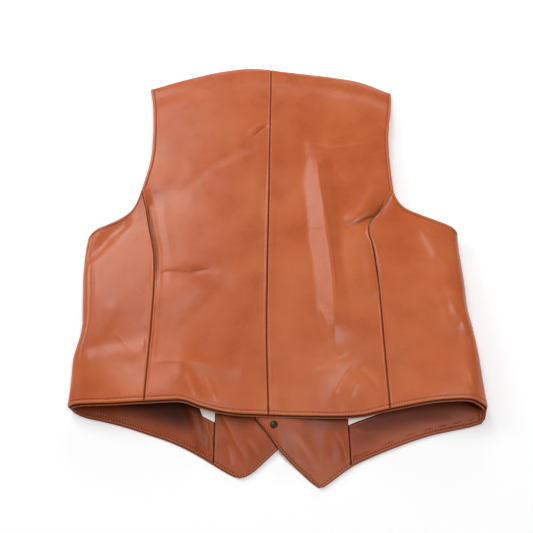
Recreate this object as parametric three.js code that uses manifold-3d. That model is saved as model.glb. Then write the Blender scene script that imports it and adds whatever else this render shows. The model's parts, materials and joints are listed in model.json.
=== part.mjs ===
// A leather vest laid flat on its fronts, seen on its back. Millimetres, +X to the right as the back
// is looked at with the neck away, +Y from hem to neck, +Z up. The origin is under the middle.
import * as THREE from 'three';
import { mergeVertices } from 'three/addons/utils/BufferGeometryUtils.js';
import Module from 'manifold-3d';

const wasm = await Module();
wasm.setup();

// Wall thicknesses and gaps
const LEATHER = 1.2;
const FACING = 1.0;
const LINING = 1.0;
const SEAM_GAP = 0.3;
const HALF_GAP = SEAM_GAP / 2;
const SIDE_SEAM_INSET = 0.25;
const FACING_DEPTH = LEATHER + SEAM_GAP;
const FRONT_STACK = FACING_DEPTH + FACING;
const FACING_EDGE_INSET = 1.2;

// Where the fronts are closed over each other
const SNAP_X = -1.5;
const SNAP_YS = [-233, -153, -73, 7];
const CAP_HEIGHT = 1.5;
const CAP_LIFT = CAP_HEIGHT + SEAM_GAP;
const SOCKET_HEIGHT = 2;
const OVERLAP_GAP = 0.7;
const SNAP_LIFT = 3;
const POST_RADIUS = 1.7;
const HOLE_RADIUS = 2.1;
const PUNCH_HEIGHT = 60;
const ROUND_SIDES = 12;
const SOCKET_FLOOR = 0.6;
const STUD_CLEARANCE = 0.4;
const STUD_FLANGE = 0.6;
const STUD_BACK_HEIGHT = 0.8;
const RIDGE_FLAT = 13;
const RIDGE_WIDE = 42;
const RIDGE_LOW_Y = -280;
const RIDGE_LOW_FLAT_Y = -247;
const RIDGE_HIGH_FLAT_Y = 22;
const RIDGE_HIGH_Y = 80;
const COVER_FLAT = 18;
const COVER_WIDE = 46;

// How the back rolls over into the fronts
const ROLL_STEPS = 4;
const BACK_ROLL = 17;
const FRONT_ROLL = 14;
const TOP_ROLL_STEPS = 2;
const BACK_TOP_ROLL = 6;
const FRONT_TOP_ROLL = 5;
const SHOULDER_Z = 7;
const SHOULDER_SEAM_Z = 3.4;
const TOP_DROP = 70;
const HEM_BLEND = 90;
const FOLDS_AT_HEM = 0.4;

// Heights of the back's outer face across the body, a row for each section from hem to neck
const BODY_HEIGHTS = [
  { y: -225, left: 23, centre: 15.5, right: 30 },
  { y: -150, left: 24, centre: 17, right: 30 },
  { y: -80, left: 23, centre: 18, right: 28 },
  { y: 0, left: 19, centre: 18, right: 22 },
  { y: 60, left: 17, centre: 17.5, right: 18 },
  { y: 150, left: 15, centre: 16, right: 15 },
  { y: 300, left: 12, centre: 13, right: 12 },
];
const BODY_HALF_WIDTH = 225;

// The back's hem, a row for each place along it, with the height of its gape over the fronts
const BACK_HEM = [
  { x: -234, y: -213, z: 19 },
  { x: -215, y: -212, z: 21.5 },
  { x: -190, y: -212, z: 24.5 },
  { x: -150, y: -210.5, z: 27 },
  { x: -105, y: -208.5, z: 26.5 },
  { x: -85, y: -214, z: 22 },
  { x: -60, y: -219.5, z: 17.5 },
  { x: -35, y: -222, z: 15.5 },
  { x: 72, y: -224.5, z: 15 },
  { x: 95, y: -223.5, z: 16.5 },
  { x: 117, y: -219.5, z: 19.5 },
  { x: 140, y: -215.5, z: 23.5 },
  { x: 186, y: -209.5, z: 30 },
  { x: 212, y: -208.5, z: 30.5 },
  { x: 238.5, y: -214.5, z: 22 },
];

// The back's top line, over the neck and down both shoulders
const BACK_TOP = [
  { x: -178, y: 260 },
  { x: -146, y: 273 },
  { x: -111, y: 285 },
  { x: -76, y: 295 },
  { x: -32, y: 301 },
  { x: 13, y: 295 },
  { x: 67, y: 287 },
  { x: 120, y: 277 },
  { x: 150, y: 264 },
  { x: 170, y: 252 },
];

const CENTRE_SEAM = [
  { y: -224, x: -7.5 },
  { y: -122, x: -9.5 },
  { y: -40, x: -8.5 },
  { y: 61, x: -6.5 },
  { y: 177, x: -4.5 },
  { y: 301, x: -2.5 },
];

// Outer edges of the centre panels: the side-back seam up to its end, then the armhole
const BACK_OUTER_LEFT = [
  { y: -214, x: -145.5 },
  { y: -83, x: -146.5 },
  { y: -31, x: -149.5 },
  { y: 23, x: -161.5 },
  { y: 50, x: -167.5 },
  { y: 76, x: -174.8 },
  { y: 100, x: -170.8 },
  { y: 132, x: -166.8 },
  { y: 173, x: -167.8 },
  { y: 217, x: -172 },
  { y: 260, x: -180 },
];
const BACK_OUTER_RIGHT = [
  { y: -219, x: 127.5 },
  { y: -83, x: 127.5 },
  { y: -14, x: 124.5 },
  { y: 8, x: 121 },
  { y: 24, x: 124 },
  { y: 42, x: 139 },
  { y: 58, x: 150 },
  { y: 72, x: 158.5 },
  { y: 95, x: 157.8 },
  { y: 135, x: 158 },
  { y: 173, x: 160.7 },
  { y: 217, x: 168.5 },
  { y: 252, x: 172.5 },
];
const LEFT_SEAM_END_Y = 76;
const RIGHT_SEAM_END_Y = 72;

// Lower armhole of the side-back panels, from the end of the seam to the side seam
const ARMHOLE_LEFT = [
  { share: 0, x: -174.8, y: 76 },
  { share: 0.16, x: -178.6, y: 60 },
  { share: 0.3, x: -182.8, y: 47 },
  { share: 0.45, x: -193, y: 35 },
  { share: 0.6, x: -206, y: 25.8 },
  { share: 0.8, x: -226, y: 15 },
  { share: 1, x: -238, y: 4 },
];
const ARMHOLE_RIGHT = [
  { share: 0, x: 158.5, y: 72 },
  { share: 0.15, x: 162.5, y: 58.5 },
  { share: 0.3, x: 171, y: 46.5 },
  { share: 0.45, x: 184, y: 39 },
  { share: 0.6, x: 198, y: 31.8 },
  { share: 0.8, x: 219, y: 21.5 },
  { share: 1, x: 235.8, y: 11.5 },
];

// The side folds and, above the underarm, the fronts' deeper armholes; z is the seam's height
const SIDE_LEFT = [
  { y: -213, x: -234, z: 9 },
  { y: -180, x: -234.4, z: 9.5 },
  { y: -162, x: -235.2, z: 9.7 },
  { y: -120, x: -230, z: 10 },
  { y: -85, x: -233.3, z: 10 },
  { y: -54, x: -237, z: 10 },
  { y: -10, x: -239, z: 9 },
  { y: 4, x: -238, z: 7.5 },
  { y: 9, x: -217.5, z: 5 },
  { y: 24, x: -191.5, z: 2 },
  { y: 49, x: -167, z: 0.5 },
  { y: 81, x: -152, z: 0 },
  { y: 118, x: -146.5, z: 0 },
  { y: 158, x: -146, z: 0 },
  { y: 205, x: -155.5, z: 0 },
  { y: 260, x: -180, z: 0 },
];
const SIDE_RIGHT = [
  { y: -214.5, x: 238.5, z: 12 },
  { y: -190, x: 237.8, z: 13 },
  { y: -150, x: 237.2, z: 13 },
  { y: -120, x: 235, z: 13 },
  { y: -95, x: 232.8, z: 12.5 },
  { y: -60, x: 233.6, z: 11.8 },
  { y: -10, x: 234, z: 10.5 },
  { y: 11.5, x: 235.8, z: 8.5 },
  { y: 17, x: 216, z: 5.5 },
  { y: 32, x: 186, z: 2 },
  { y: 54, x: 161, z: 0.5 },
  { y: 83, x: 144, z: 0 },
  { y: 122, x: 137, z: 0 },
  { y: 158, x: 136.5, z: 0 },
  { y: 205, x: 146.5, z: 0 },
  { y: 252, x: 172.5, z: 0 },
];
const LEFT_UNDERARM_Y = 4;
const RIGHT_UNDERARM_Y = 11.5;

// Lower edges of the fronts, from the side fold to the point and up the cut-away front edge
const FRONT_HEM_LEFT = [
  { x: -234, y: -213 },
  { x: -221.5, y: -221 },
  { x: -193.5, y: -228 },
  { x: -165.5, y: -235 },
  { x: -137.5, y: -244 },
  { x: -110.5, y: -253 },
  { x: -82.5, y: -266 },
  { x: -55.5, y: -281 },
  { x: -38.5, y: -290.5 },
  { x: -29, y: -285 },
  { x: -10, y: -269 },
  { x: 2, y: -258.5 },
  { x: 14, y: -248 },
  { x: 22, y: -236 },
];
const FRONT_HEM_RIGHT = [
  { x: 238.5, y: -214.5 },
  { x: 236, y: -223.5 },
  { x: 233, y: -228 },
  { x: 227, y: -231.5 },
  { x: 199.5, y: -238 },
  { x: 171.5, y: -244 },
  { x: 143.5, y: -253 },
  { x: 116.5, y: -263 },
  { x: 88.5, y: -274 },
  { x: 68, y: -286 },
  { x: 48.5, y: -301 },
  { x: 36, y: -291 },
  { x: 20, y: -274.5 },
  { x: 10, y: -266 },
  { x: 2, y: -258 },
  { x: -4, y: -248 },
  { x: -12, y: -238 },
  { x: -19, y: -230 },
  { x: -22, y: -226 },
];
const BACK_HEM_ENDS_X = { left: -145.5, right: 127.5 };
const SHOULDER_ENDS_X = { left: -178, right: 170 };
const NECK_Y = 301;
const FRONT_POINT_LEFT_X = -38.5;
const FRONT_POINT_RIGHT_X = 48.5;
const FACING_SEAM_LEFT_X = -68;
const FACING_SEAM_RIGHT_X = 83;
const LEFT_COLUMNS_X = [22, 7, -10, -25, FRONT_POINT_LEFT_X, -53, FACING_SEAM_LEFT_X];
const RIGHT_COLUMNS_X = [-22, -10, 7, 26, FRONT_POINT_RIGHT_X, 65, FACING_SEAM_RIGHT_X];
const FACING_COLUMNS = LEFT_COLUMNS_X.length - 1;

// Front edges, straight up to the break of the V-neck and then out to the shoulder
const FRONT_EDGE_LEFT = [
  { y: -236, x: 22 },
  { y: 45, x: 22 },
  { y: 90, x: 4 },
  { y: 200, x: -52 },
  { y: 291, x: -87 },
];
const FRONT_EDGE_RIGHT = [
  { y: -226, x: -22 },
  { y: 45, x: -22 },
  { y: 90, x: -3 },
  { y: 200, x: 50 },
  { y: 285, x: 82 },
];

// The largest folds and valleys of the back, each along its own path
const FOLDS = [
  {
    name: 'long ridge of the right panel',
    rise: 3.2,
    width: 9,
    path: [[52, 146], [60, 89], [66, 20], [70, -60]],
  },
  {
    name: 'hollow beside the long ridge',
    rise: -1.8,
    width: 12,
    path: [[78, 120], [86, 50], [92, -30]],
  },
  {
    name: 'flat band left of the ridge',
    rise: 2,
    width: 14,
    path: [[36, 112], [42, 30], [48, -70]],
  },
  {
    name: 'underarm crease on the right',
    rise: -3.2,
    width: 5,
    path: [[84, 6], [113, 17], [133, 35], [148, 62]],
  },
  {
    name: 'leather bunched above it',
    rise: 2.6,
    width: 10,
    path: [[84, 24], [108, 34], [126, 56], [140, 84]],
  },
  {
    name: 'lip of the right seam',
    rise: 2,
    width: 7,
    path: [[112, 0], [116, -30], [118, -70]],
  },
  {
    name: 'valley of the left seam',
    rise: -3.2,
    width: 7,
    path: [[-160, 62], [-148, 20], [-140, -20], [-138, -60]],
  },
  {
    name: 'soft trough from the centre seam',
    rise: -2,
    width: 12,
    path: [[-34, 150], [-80, 116], [-128, 68]],
  },
  {
    name: 'soft fold from the centre seam',
    rise: 2.2,
    width: 12,
    path: [[-16, 140], [-62, 112], [-112, 84]],
  },
  {
    name: 'waist crease of the left panel',
    rise: -1.6,
    width: 6,
    path: [[-140, -52], [-108, -46], [-74, -42]],
  },
  {
    name: 'fold over the left hem facing',
    rise: 1.4,
    width: 8,
    path: [[-140, -166], [-96, -168], [-50, -174]],
  },
  {
    name: 'left underarm crease',
    rise: -2.4,
    width: 8,
    path: [[-228, -26], [-212, 0], [-192, 24]],
  },
  {
    name: 'left side trough',
    rise: -2,
    width: 10,
    path: [[-194, -84], [-205, -118], [-211, -146]],
  },
  {
    name: 'left side fold',
    rise: 1.8,
    width: 10,
    path: [[-196, -118], [-178, -138], [-160, -152]],
  },
  {
    name: 'right side swell',
    rise: 2.2,
    width: 16,
    path: [[196, 4], [206, -50], [214, -112]],
  },
  {
    name: 'right hem wrinkle',
    rise: -1.6,
    width: 7,
    path: [[62, -200], [74, -182], [92, -170], [112, -184]],
  },
  {
    name: 'left hem wrinkle',
    rise: -1.5,
    width: 7,
    path: [[-104, -198], [-92, -178], [-74, -186]],
  },
  {
    name: 'light crease across the right panel',
    rise: -1.2,
    width: 7,
    path: [[22, 120], [70, 112], [136, 117]],
  },
  {
    name: 'roll of the neck',
    rise: 1.4,
    width: 10,
    path: [[-84, 270], [-30, 278], [60, 264]],
  },
];

// Counts of cells in the grids of points
const BACK_COLUMNS = 14;
const SEAM_ROWS = 18;
const ARMHOLE_ROWS = 9;
const SIDE_FLAT_COLUMNS = 7;
const BACK_FACING_ROWS = 2;
const HEM_FACING_ROWS = 3;
const HEM_FACING_SHARE = 0.081;
const SIDE_ROWS = 6;
const UPPER_ROWS = 8;
const ARMHOLE_CROWDING = 1.7;
const FRONT_FLAT_COLUMNS = 6;

const COLOURS = {
  leather: 0xc46b48,
  facing: 0x9b482a,
  lining: 0xded2c0,
  brass: 0x6e6242,
};

const lerp = (a, b, t) => a + (b - a) * t;

// 1 up to the flat distance, then smoothly down to 0 at the wide one
function fade(distance, flat, wide) {
  const t = THREE.MathUtils.clamp((wide - distance) / (wide - flat), 0, 1);
  return t * t * (3 - 2 * t);
}

// A smooth curve through the rows of a table that never swings past them
function curveOf(rows, key, value) {
  const sorted = [...rows].sort((a, b) => a[key] - b[key]);
  const at = sorted.map((row) => row[key]);
  const to = sorted.map((row) => row[value]);
  const steps = at.slice(1).map((k, i) => (to[i + 1] - to[i]) / (k - at[i]));
  const slopes = at.map((_, i) => {
    const before = steps[Math.max(i - 1, 0)];
    const after = steps[Math.min(i, steps.length - 1)];
    return before * after <= 0 ? 0 : (2 * before * after) / (before + after);
  });
  return (k) => {
    const clamped = THREE.MathUtils.clamp(k, at[0], at[at.length - 1]);
    let i = 0;
    while (i < steps.length - 1 && clamped > at[i + 1]) i += 1;
    const span = at[i + 1] - at[i];
    const t = (clamped - at[i]) / span;
    const bend = t * (1 - t) * span * ((1 - t) * (slopes[i] - steps[i]) - t * (slopes[i + 1] - steps[i]));
    return lerp(to[i], to[i + 1], t) + bend;
  };
}

// A panel's side edge, from its lowest to its highest row
function sideEdge(rows, lowest, highest) {
  const x = curveOf(rows, 'y', 'x');
  return (v) => {
    const y = lerp(lowest, highest, v);
    return { x: x(y), y };
  };
}

// A panel's lower or upper edge, between the ends of its two side edges
function crossEdge(rows, fromX, toX) {
  const y = curveOf(rows, 'x', 'y');
  return (share) => {
    const x = lerp(fromX, toX, share);
    return { x, y: y(x) };
  };
}

// Points of a panel filled in between its four edges
function fillBetween(first, last, bottom, top) {
  return (share, v) => {
    const a = first(v);
    const b = last(v);
    const low = bottom(share);
    const high = top(share);
    const lowShare = (1 - v) * (1 - v * v);
    const filled = {};
    for (const k of ['x', 'y']) {
      const lowOff = low[k] - lerp(first(0)[k], last(0)[k], share);
      const highOff = high[k] - lerp(first(1)[k], last(1)[k], share);
      filled[k] = lerp(a[k], b[k], share) + lowShare * lowOff + v * v * highOff;
    }
    return filled;
  };
}

// Distance from a plan point to a path of straight stretches
function distanceToPath(x, y, path) {
  let nearest = Infinity;
  for (let i = 0; i < path.length - 1; i += 1) {
    const [ax, ay] = path[i];
    const [bx, by] = path[i + 1];
    const along = ((x - ax) * (bx - ax) + (y - ay) * (by - ay)) / ((bx - ax) ** 2 + (by - ay) ** 2);
    const t = THREE.MathUtils.clamp(along, 0, 1);
    nearest = Math.min(nearest, Math.hypot(x - lerp(ax, bx, t), y - lerp(ay, by, t)));
  }
  return nearest;
}

const leftHeight = curveOf(BODY_HEIGHTS, 'y', 'left');
const centreHeight = curveOf(BODY_HEIGHTS, 'y', 'centre');
const rightHeight = curveOf(BODY_HEIGHTS, 'y', 'right');
const hemHeight = curveOf(BACK_HEM, 'x', 'z');
const hemLine = curveOf(BACK_HEM, 'x', 'y');
const topLine = curveOf(BACK_TOP, 'x', 'y');
const centreSeam = curveOf(CENTRE_SEAM, 'y', 'x');

// Height of the back's outer face, with the gape of the hem, the shoulders and the folds
function backHeight(x, y) {
  const centre = centreHeight(y);
  const side = x < 0 ? leftHeight(y) : rightHeight(y);
  const body = centre + (side - centre) * Math.min(Math.abs(x) / BODY_HALF_WIDTH, 1) ** 2;
  const overHem = fade(y - hemLine(x), 0, HEM_BLEND);
  const draped = lerp(body, hemHeight(x), overHem);
  let folds = 0;
  for (const fold of FOLDS) {
    folds += fold.rise * Math.exp(-((distanceToPath(x, y, fold.path) / fold.width) ** 2));
  }
  const underTop = fade(topLine(x) - y, 0, TOP_DROP);
  return lerp(draped, SHOULDER_Z, underTop) + folds * (1 - underTop) * lerp(1, FOLDS_AT_HEM, overHem);
}

// How far the left front is lifted by the snap caps under it
const leftFrontEdge = curveOf([...FRONT_EDGE_LEFT, ...FRONT_HEM_LEFT.slice(-6, -1)], 'y', 'x');
function closureRidge(x, y) {
  const low = fade(RIDGE_LOW_FLAT_Y - y, 0, RIDGE_LOW_FLAT_Y - RIDGE_LOW_Y);
  const high = fade(y - RIDGE_HIGH_FLAT_Y, 0, RIDGE_HIGH_Y - RIDGE_HIGH_FLAT_Y);
  return fade(Math.abs(x - SNAP_X), RIDGE_FLAT, RIDGE_WIDE) * low * high;
}
function leftFrontLift(x, y) {
  return CAP_LIFT * closureRidge(x, y);
}

// The right front lies over the left one as far as the left one's edge
function rightFrontLift(x, y) {
  const covered = fade(x - leftFrontEdge(y), COVER_FLAT, COVER_WIDE);
  const onLeftFront = leftFrontLift(x, y) + FRONT_STACK + OVERLAP_GAP;
  return onLeftFront * covered + SNAP_LIFT * closureRidge(x, y);
}

// Lines of points, with the angle by which a rolled edge has turned at each
function rolledLines(shares, rollShare, steps) {
  const rolled = [];
  for (let i = 1; i <= steps; i += 1) {
    const angle = (Math.PI / 2) * (i / steps);
    rolled.push({ at: 1 - rollShare * (1 - Math.sin(angle)), angle });
  }
  return [...shares.map((at) => ({ at, angle: 0 })), ...rolled];
}
function evenShares(from, to, count) {
  return Array.from({ length: count + 1 }, (_, i) => lerp(from, to, i / count));
}

// Direction of a line of points at one of them; an end that rolls over takes that of a parabola
function directionAt(line, i) {
  if (i > 0 && i < line.length - 1) return new THREE.Vector3().subVectors(line[i + 1], line[i - 1]);
  const way = i === 0 ? 1 : -1;
  const straight = new THREE.Vector3().subVectors(line[i + way], line[i]).multiplyScalar(way);
  const curved = line[i].clone().multiplyScalar(-1.5 * way);
  curved.addScaledVector(line[i + way], 2 * way).addScaledVector(line[i + 2 * way], -0.5 * way);
  return curved.dot(straight) > straight.lengthSq() / 2 ? curved : straight;
}

// A grid of points with the normals that point out of the vest
function gridOf(columns, rows, pointAt, facesDown) {
  const points = columns.map((column) => rows.map((row) => pointAt(column, row)));
  const normals = points.map((line, i) => line.map((_, j) => {
    const across = directionAt(points.map((other) => other[j]), i);
    return across.cross(directionAt(line, j)).normalize();
  }));
  const middle = normals[Math.floor(points.length / 2)][Math.floor(rows.length / 2)];
  if ((middle.z > 0) === facesDown) normals.flat().forEach((normal) => normal.negate());
  return { points, normals };
}

// Two panels face the same way where they are sewn together
function matchNormals(first, firstColumn, second, secondColumn, rowCount) {
  for (let j = 0; j < rowCount; j += 1) {
    const one = first.normals[firstColumn][j];
    const other = second.normals[secondColumn][j];
    const shared = new THREE.Vector3().addVectors(one, other).normalize();
    one.copy(shared);
    other.copy(shared);
  }
}

// A stretch of a grid, drawn in from its neighbours by a gap on each side
function stretchOf(grid, columns, rows, inset) {
  const cut = (list) => list
    .slice(columns[0], columns[1] + 1)
    .map((line) => line.slice(rows[0], rows[1] + 1));
  const points = cut(grid.points).map((line) => line.map((point) => point.clone()));
  const drawIn = (point, towards, distance) => {
    const way = new THREE.Vector3().subVectors(towards, point);
    if (distance) point.addScaledVector(way, distance / way.length());
  };
  const last = points.length - 1;
  const top = points[0].length - 1;
  for (let j = 0; j <= top; j += 1) {
    drawIn(points[0][j], points[1][j], inset.first ?? HALF_GAP);
    drawIn(points[last][j], points[last - 1][j], inset.last ?? SIDE_SEAM_INSET);
  }
  for (let i = 0; i <= last; i += 1) {
    drawIn(points[i][0], points[i][1], inset.bottom ?? 0);
    drawIn(points[i][top], points[i][top - 1], inset.top ?? 0);
  }
  return { points, normals: cut(grid.normals) };
}

// A closed wall of cloth between two depths under a stretch of points
function wallOf({ points, normals }, depth, thickness) {
  const columns = points.length;
  const rows = points[0].length;
  const layers = [depth, depth + thickness];
  const positions = [];
  for (const layer of layers) {
    for (let i = 0; i < columns; i += 1) {
      for (let j = 0; j < rows; j += 1) {
        positions.push(...points[i][j].clone().addScaledVector(normals[i][j], -layer));
      }
    }
  }
  const index = (layer, i, j) => (layer * columns + i) * rows + j;
  const faces = [];
  const quad = (a, b, c, d) => faces.push(a, b, c, a, c, d);
  for (let i = 0; i < columns - 1; i += 1) {
    for (let j = 0; j < rows - 1; j += 1) {
      quad(index(0, i, j), index(0, i + 1, j), index(0, i + 1, j + 1), index(0, i, j + 1));
      quad(index(1, i, j), index(1, i, j + 1), index(1, i + 1, j + 1), index(1, i + 1, j));
    }
    const top = rows - 1;
    quad(index(0, i, 0), index(1, i, 0), index(1, i + 1, 0), index(0, i + 1, 0));
    quad(index(0, i, top), index(0, i + 1, top), index(1, i + 1, top), index(1, i, top));
  }
  for (let j = 0; j < rows - 1; j += 1) {
    const last = columns - 1;
    quad(index(0, 0, j), index(0, 0, j + 1), index(1, 0, j + 1), index(1, 0, j));
    quad(index(0, last, j), index(1, last, j), index(1, last, j + 1), index(0, last, j + 1));
  }
  if (signedVolume(positions, faces) < 0) faces.reverse();
  return solidGeometry(positions, faces);
}

function signedVolume(positions, faces) {
  const corner = (i) => new THREE.Vector3().fromArray(positions, 3 * faces[i]);
  let volume = 0;
  for (let i = 0; i < faces.length; i += 3) {
    volume += corner(i).dot(corner(i + 1).cross(corner(i + 2))) / 6;
  }
  return volume;
}

function solidGeometry(positions, faces) {
  const geometry = new THREE.BufferGeometry();
  geometry.setAttribute('position', new THREE.Float32BufferAttribute(positions, 3));
  geometry.setIndex([...faces]);
  return geometry;
}

function toManifold(geometry) {
  const bare = geometry.clone();
  bare.deleteAttribute('normal');
  bare.deleteAttribute('uv');
  const merged = mergeVertices(bare, 1e-4);
  return new wasm.Manifold(new wasm.Mesh({
    numProp: 3,
    vertProperties: new Float32Array(merged.attributes.position.array),
    triVerts: new Uint32Array(merged.index.array),
  }));
}

// The same wall with a round hole for each snap's post
function punched(geometry) {
  let solid = toManifold(geometry);
  for (const y of SNAP_YS) {
    const punch = new THREE.CylinderGeometry(HOLE_RADIUS, HOLE_RADIUS, PUNCH_HEIGHT, ROUND_SIDES);
    punch.rotateX(Math.PI / 2).translate(SNAP_X, y, 0);
    solid = solid.subtract(toManifold(punch));
  }
  const cut = solid.getMesh();
  return solidGeometry(Array.from(cut.vertProperties), Array.from(cut.triVerts));
}

const vest = new THREE.Group();

function addPiece(name, geometry, colour, roughness = 0.45, metalness = 0) {
  const material = new THREE.MeshStandardMaterial({ color: colour, roughness, metalness });
  const mesh = new THREE.Mesh(geometry, material);
  mesh.name = name;
  vest.add(mesh);
}

// Centre panel of the back, from the centre seam to the side-back seam and armhole
function backGrid(outerRows, seamEndY, hemX, topX) {
  const outerLow = hemLine(hemX);
  const outerHigh = topLine(topX);
  const inner = sideEdge(CENTRE_SEAM, hemLine(CENTRE_SEAM[0].x), topLine(centreSeam(NECK_Y)));
  const outer = sideEdge(outerRows, outerLow, outerHigh);
  const bottom = crossEdge(BACK_HEM, inner(0).x, outer(0).x);
  const top = crossEdge(BACK_TOP, inner(1).x, outer(1).x);
  const planPoint = fillBetween(inner, outer, bottom, top);
  const seamShare = (seamEndY - outerLow) / (outerHigh - outerLow);
  const columns = evenShares(0, 1, BACK_COLUMNS);
  const flatEnd = 1 - BACK_TOP_ROLL / (outerHigh - outerLow);
  const flatRows = [
    ...evenShares(0, seamShare, SEAM_ROWS),
    ...evenShares(seamShare, flatEnd, ARMHOLE_ROWS).slice(1),
  ];
  const rows = rolledLines(flatRows, 1 - flatEnd, TOP_ROLL_STEPS);
  return gridOf(columns, rows, (share, row) => {
    const plan = planPoint(share, row.at);
    const z = lerp(SHOULDER_SEAM_Z, backHeight(plan.x, plan.y), Math.cos(row.angle));
    return new THREE.Vector3(plan.x, plan.y, z);
  }, false);
}

// Side panel of the back, from the same points of its seam round the fold to the side seam
function sideBackGrid(centreGrid, armholeRows, sideRows, underarmY) {
  const seamPoints = centreGrid.points[BACK_COLUMNS].slice(0, SEAM_ROWS + 1);
  const seamAt = (v) => seamPoints[Math.round(v * SEAM_ROWS)];
  const fold = sideEdge(sideRows, sideRows[0].y, underarmY);
  const seamZ = curveOf(sideRows, 'y', 'z');
  const bottom = crossEdge(BACK_HEM, seamAt(0).x, fold(0).x);
  const armX = curveOf(armholeRows, 'share', 'x');
  const armY = curveOf(armholeRows, 'share', 'y');
  const top = (share) => ({ x: armX(share), y: armY(share) });
  const planPoint = fillBetween(seamAt, fold, bottom, top);
  const rollShare = BACK_ROLL / Math.abs(fold(0).x - seamAt(0).x);
  const columns = rolledLines(evenShares(0, 1 - rollShare, SIDE_FLAT_COLUMNS), rollShare, ROLL_STEPS);
  return gridOf(columns, evenShares(0, 1, SEAM_ROWS), (column, v) => {
    const plan = planPoint(column.at, v);
    const z = lerp(seamZ(fold(v).y), backHeight(plan.x, plan.y), Math.cos(column.angle));
    return new THREE.Vector3(plan.x, plan.y, z);
  }, false);
}

// A front, flat on what it lies on, from its front edge to its side seam and armhole
function frontGrid(edgeRows, hemRows, sideRows, underarmY, columnXs, lift) {
  const sideLow = sideRows[0];
  const sideHigh = sideRows[sideRows.length - 1];
  const edge = sideEdge(edgeRows, edgeRows[0].y, edgeRows[edgeRows.length - 1].y);
  const side = sideEdge(sideRows, sideLow.y, sideHigh.y);
  const seamZ = curveOf(sideRows, 'y', 'z');
  const bottom = crossEdge(hemRows, edge(0).x, side(0).x);
  const top = crossEdge(BACK_TOP, edge(1).x, side(1).x);
  const planPoint = fillBetween(edge, side, bottom, top);
  const width = sideLow.x - edge(0).x;
  const rollShare = FRONT_ROLL / Math.abs(width);
  const flatShares = columnXs.map((x) => (x - edge(0).x) / width);
  const spare = evenShares(flatShares[flatShares.length - 1], 1 - rollShare, FRONT_FLAT_COLUMNS).slice(1);
  const columns = rolledLines([...flatShares, ...spare], rollShare, ROLL_STEPS);
  const armShare = (underarmY - sideLow.y) / (sideHigh.y - sideLow.y);
  const flatEnd = 1 - FRONT_TOP_ROLL / (sideHigh.y - sideLow.y);
  const flatRows = [
    ...evenShares(0, HEM_FACING_SHARE, HEM_FACING_ROWS),
    ...evenShares(HEM_FACING_SHARE, armShare, SIDE_ROWS).slice(1),
    ...evenShares(0, 1, UPPER_ROWS).slice(1).map((t) => lerp(armShare, flatEnd, t ** ARMHOLE_CROWDING)),
  ];
  const rows = rolledLines(flatRows, 1 - flatEnd, TOP_ROLL_STEPS);
  return gridOf(columns, rows, (column, row) => {
    const plan = planPoint(column.at, row.at);
    const sideZ = seamZ(side(row.at).y) * (1 - Math.cos(column.angle));
    const topZ = (SHOULDER_SEAM_Z - 2 * SEAM_GAP) * (1 - Math.cos(row.angle));
    const z = Math.max(sideZ, topZ, lift(plan.x, plan.y));
    return new THREE.Vector3(plan.x, plan.y, z);
  }, true);
}

// The back's four panels
const backLeft = backGrid(BACK_OUTER_LEFT, LEFT_SEAM_END_Y, BACK_HEM_ENDS_X.left, SHOULDER_ENDS_X.left);
const backRight = backGrid(BACK_OUTER_RIGHT, RIGHT_SEAM_END_Y, BACK_HEM_ENDS_X.right, SHOULDER_ENDS_X.right);
const sideBackLeft = sideBackGrid(backLeft, ARMHOLE_LEFT, SIDE_LEFT, LEFT_UNDERARM_Y);
const sideBackRight = sideBackGrid(backRight, ARMHOLE_RIGHT, SIDE_RIGHT, RIGHT_UNDERARM_Y);
matchNormals(backLeft, 0, backRight, 0, backLeft.points[0].length);
matchNormals(backLeft, BACK_COLUMNS, sideBackLeft, 0, SEAM_ROWS + 1);
matchNormals(backRight, BACK_COLUMNS, sideBackRight, 0, SEAM_ROWS + 1);

const backSides = [
  { side: 'left', centre: backLeft, flank: sideBackLeft },
  { side: 'right', centre: backRight, flank: sideBackRight },
];
for (const { side, centre, flank } of backSides) {
  for (const [name, grid] of [[`back_${side}`, centre], [`side_back_${side}`, flank]]) {
    const all = stretchOf(grid, [0, grid.points.length - 1], [0, grid.points[0].length - 1], {
      last: grid === centre ? HALF_GAP : SIDE_SEAM_INSET,
    });
    addPiece(name, wallOf(all, 0, LEATHER), COLOURS.leather);
  }
  const hemBand = {
    points: [...centre.points, ...flank.points.slice(1)],
    normals: [...centre.normals, ...flank.normals.slice(1)],
  };
  const band = stretchOf(hemBand, [0, hemBand.points.length - 1], [0, BACK_FACING_ROWS], {});
  addPiece(`back_hem_facing_${side}`, wallOf(band, FACING_DEPTH, FACING), COLOURS.facing);
}

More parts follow.
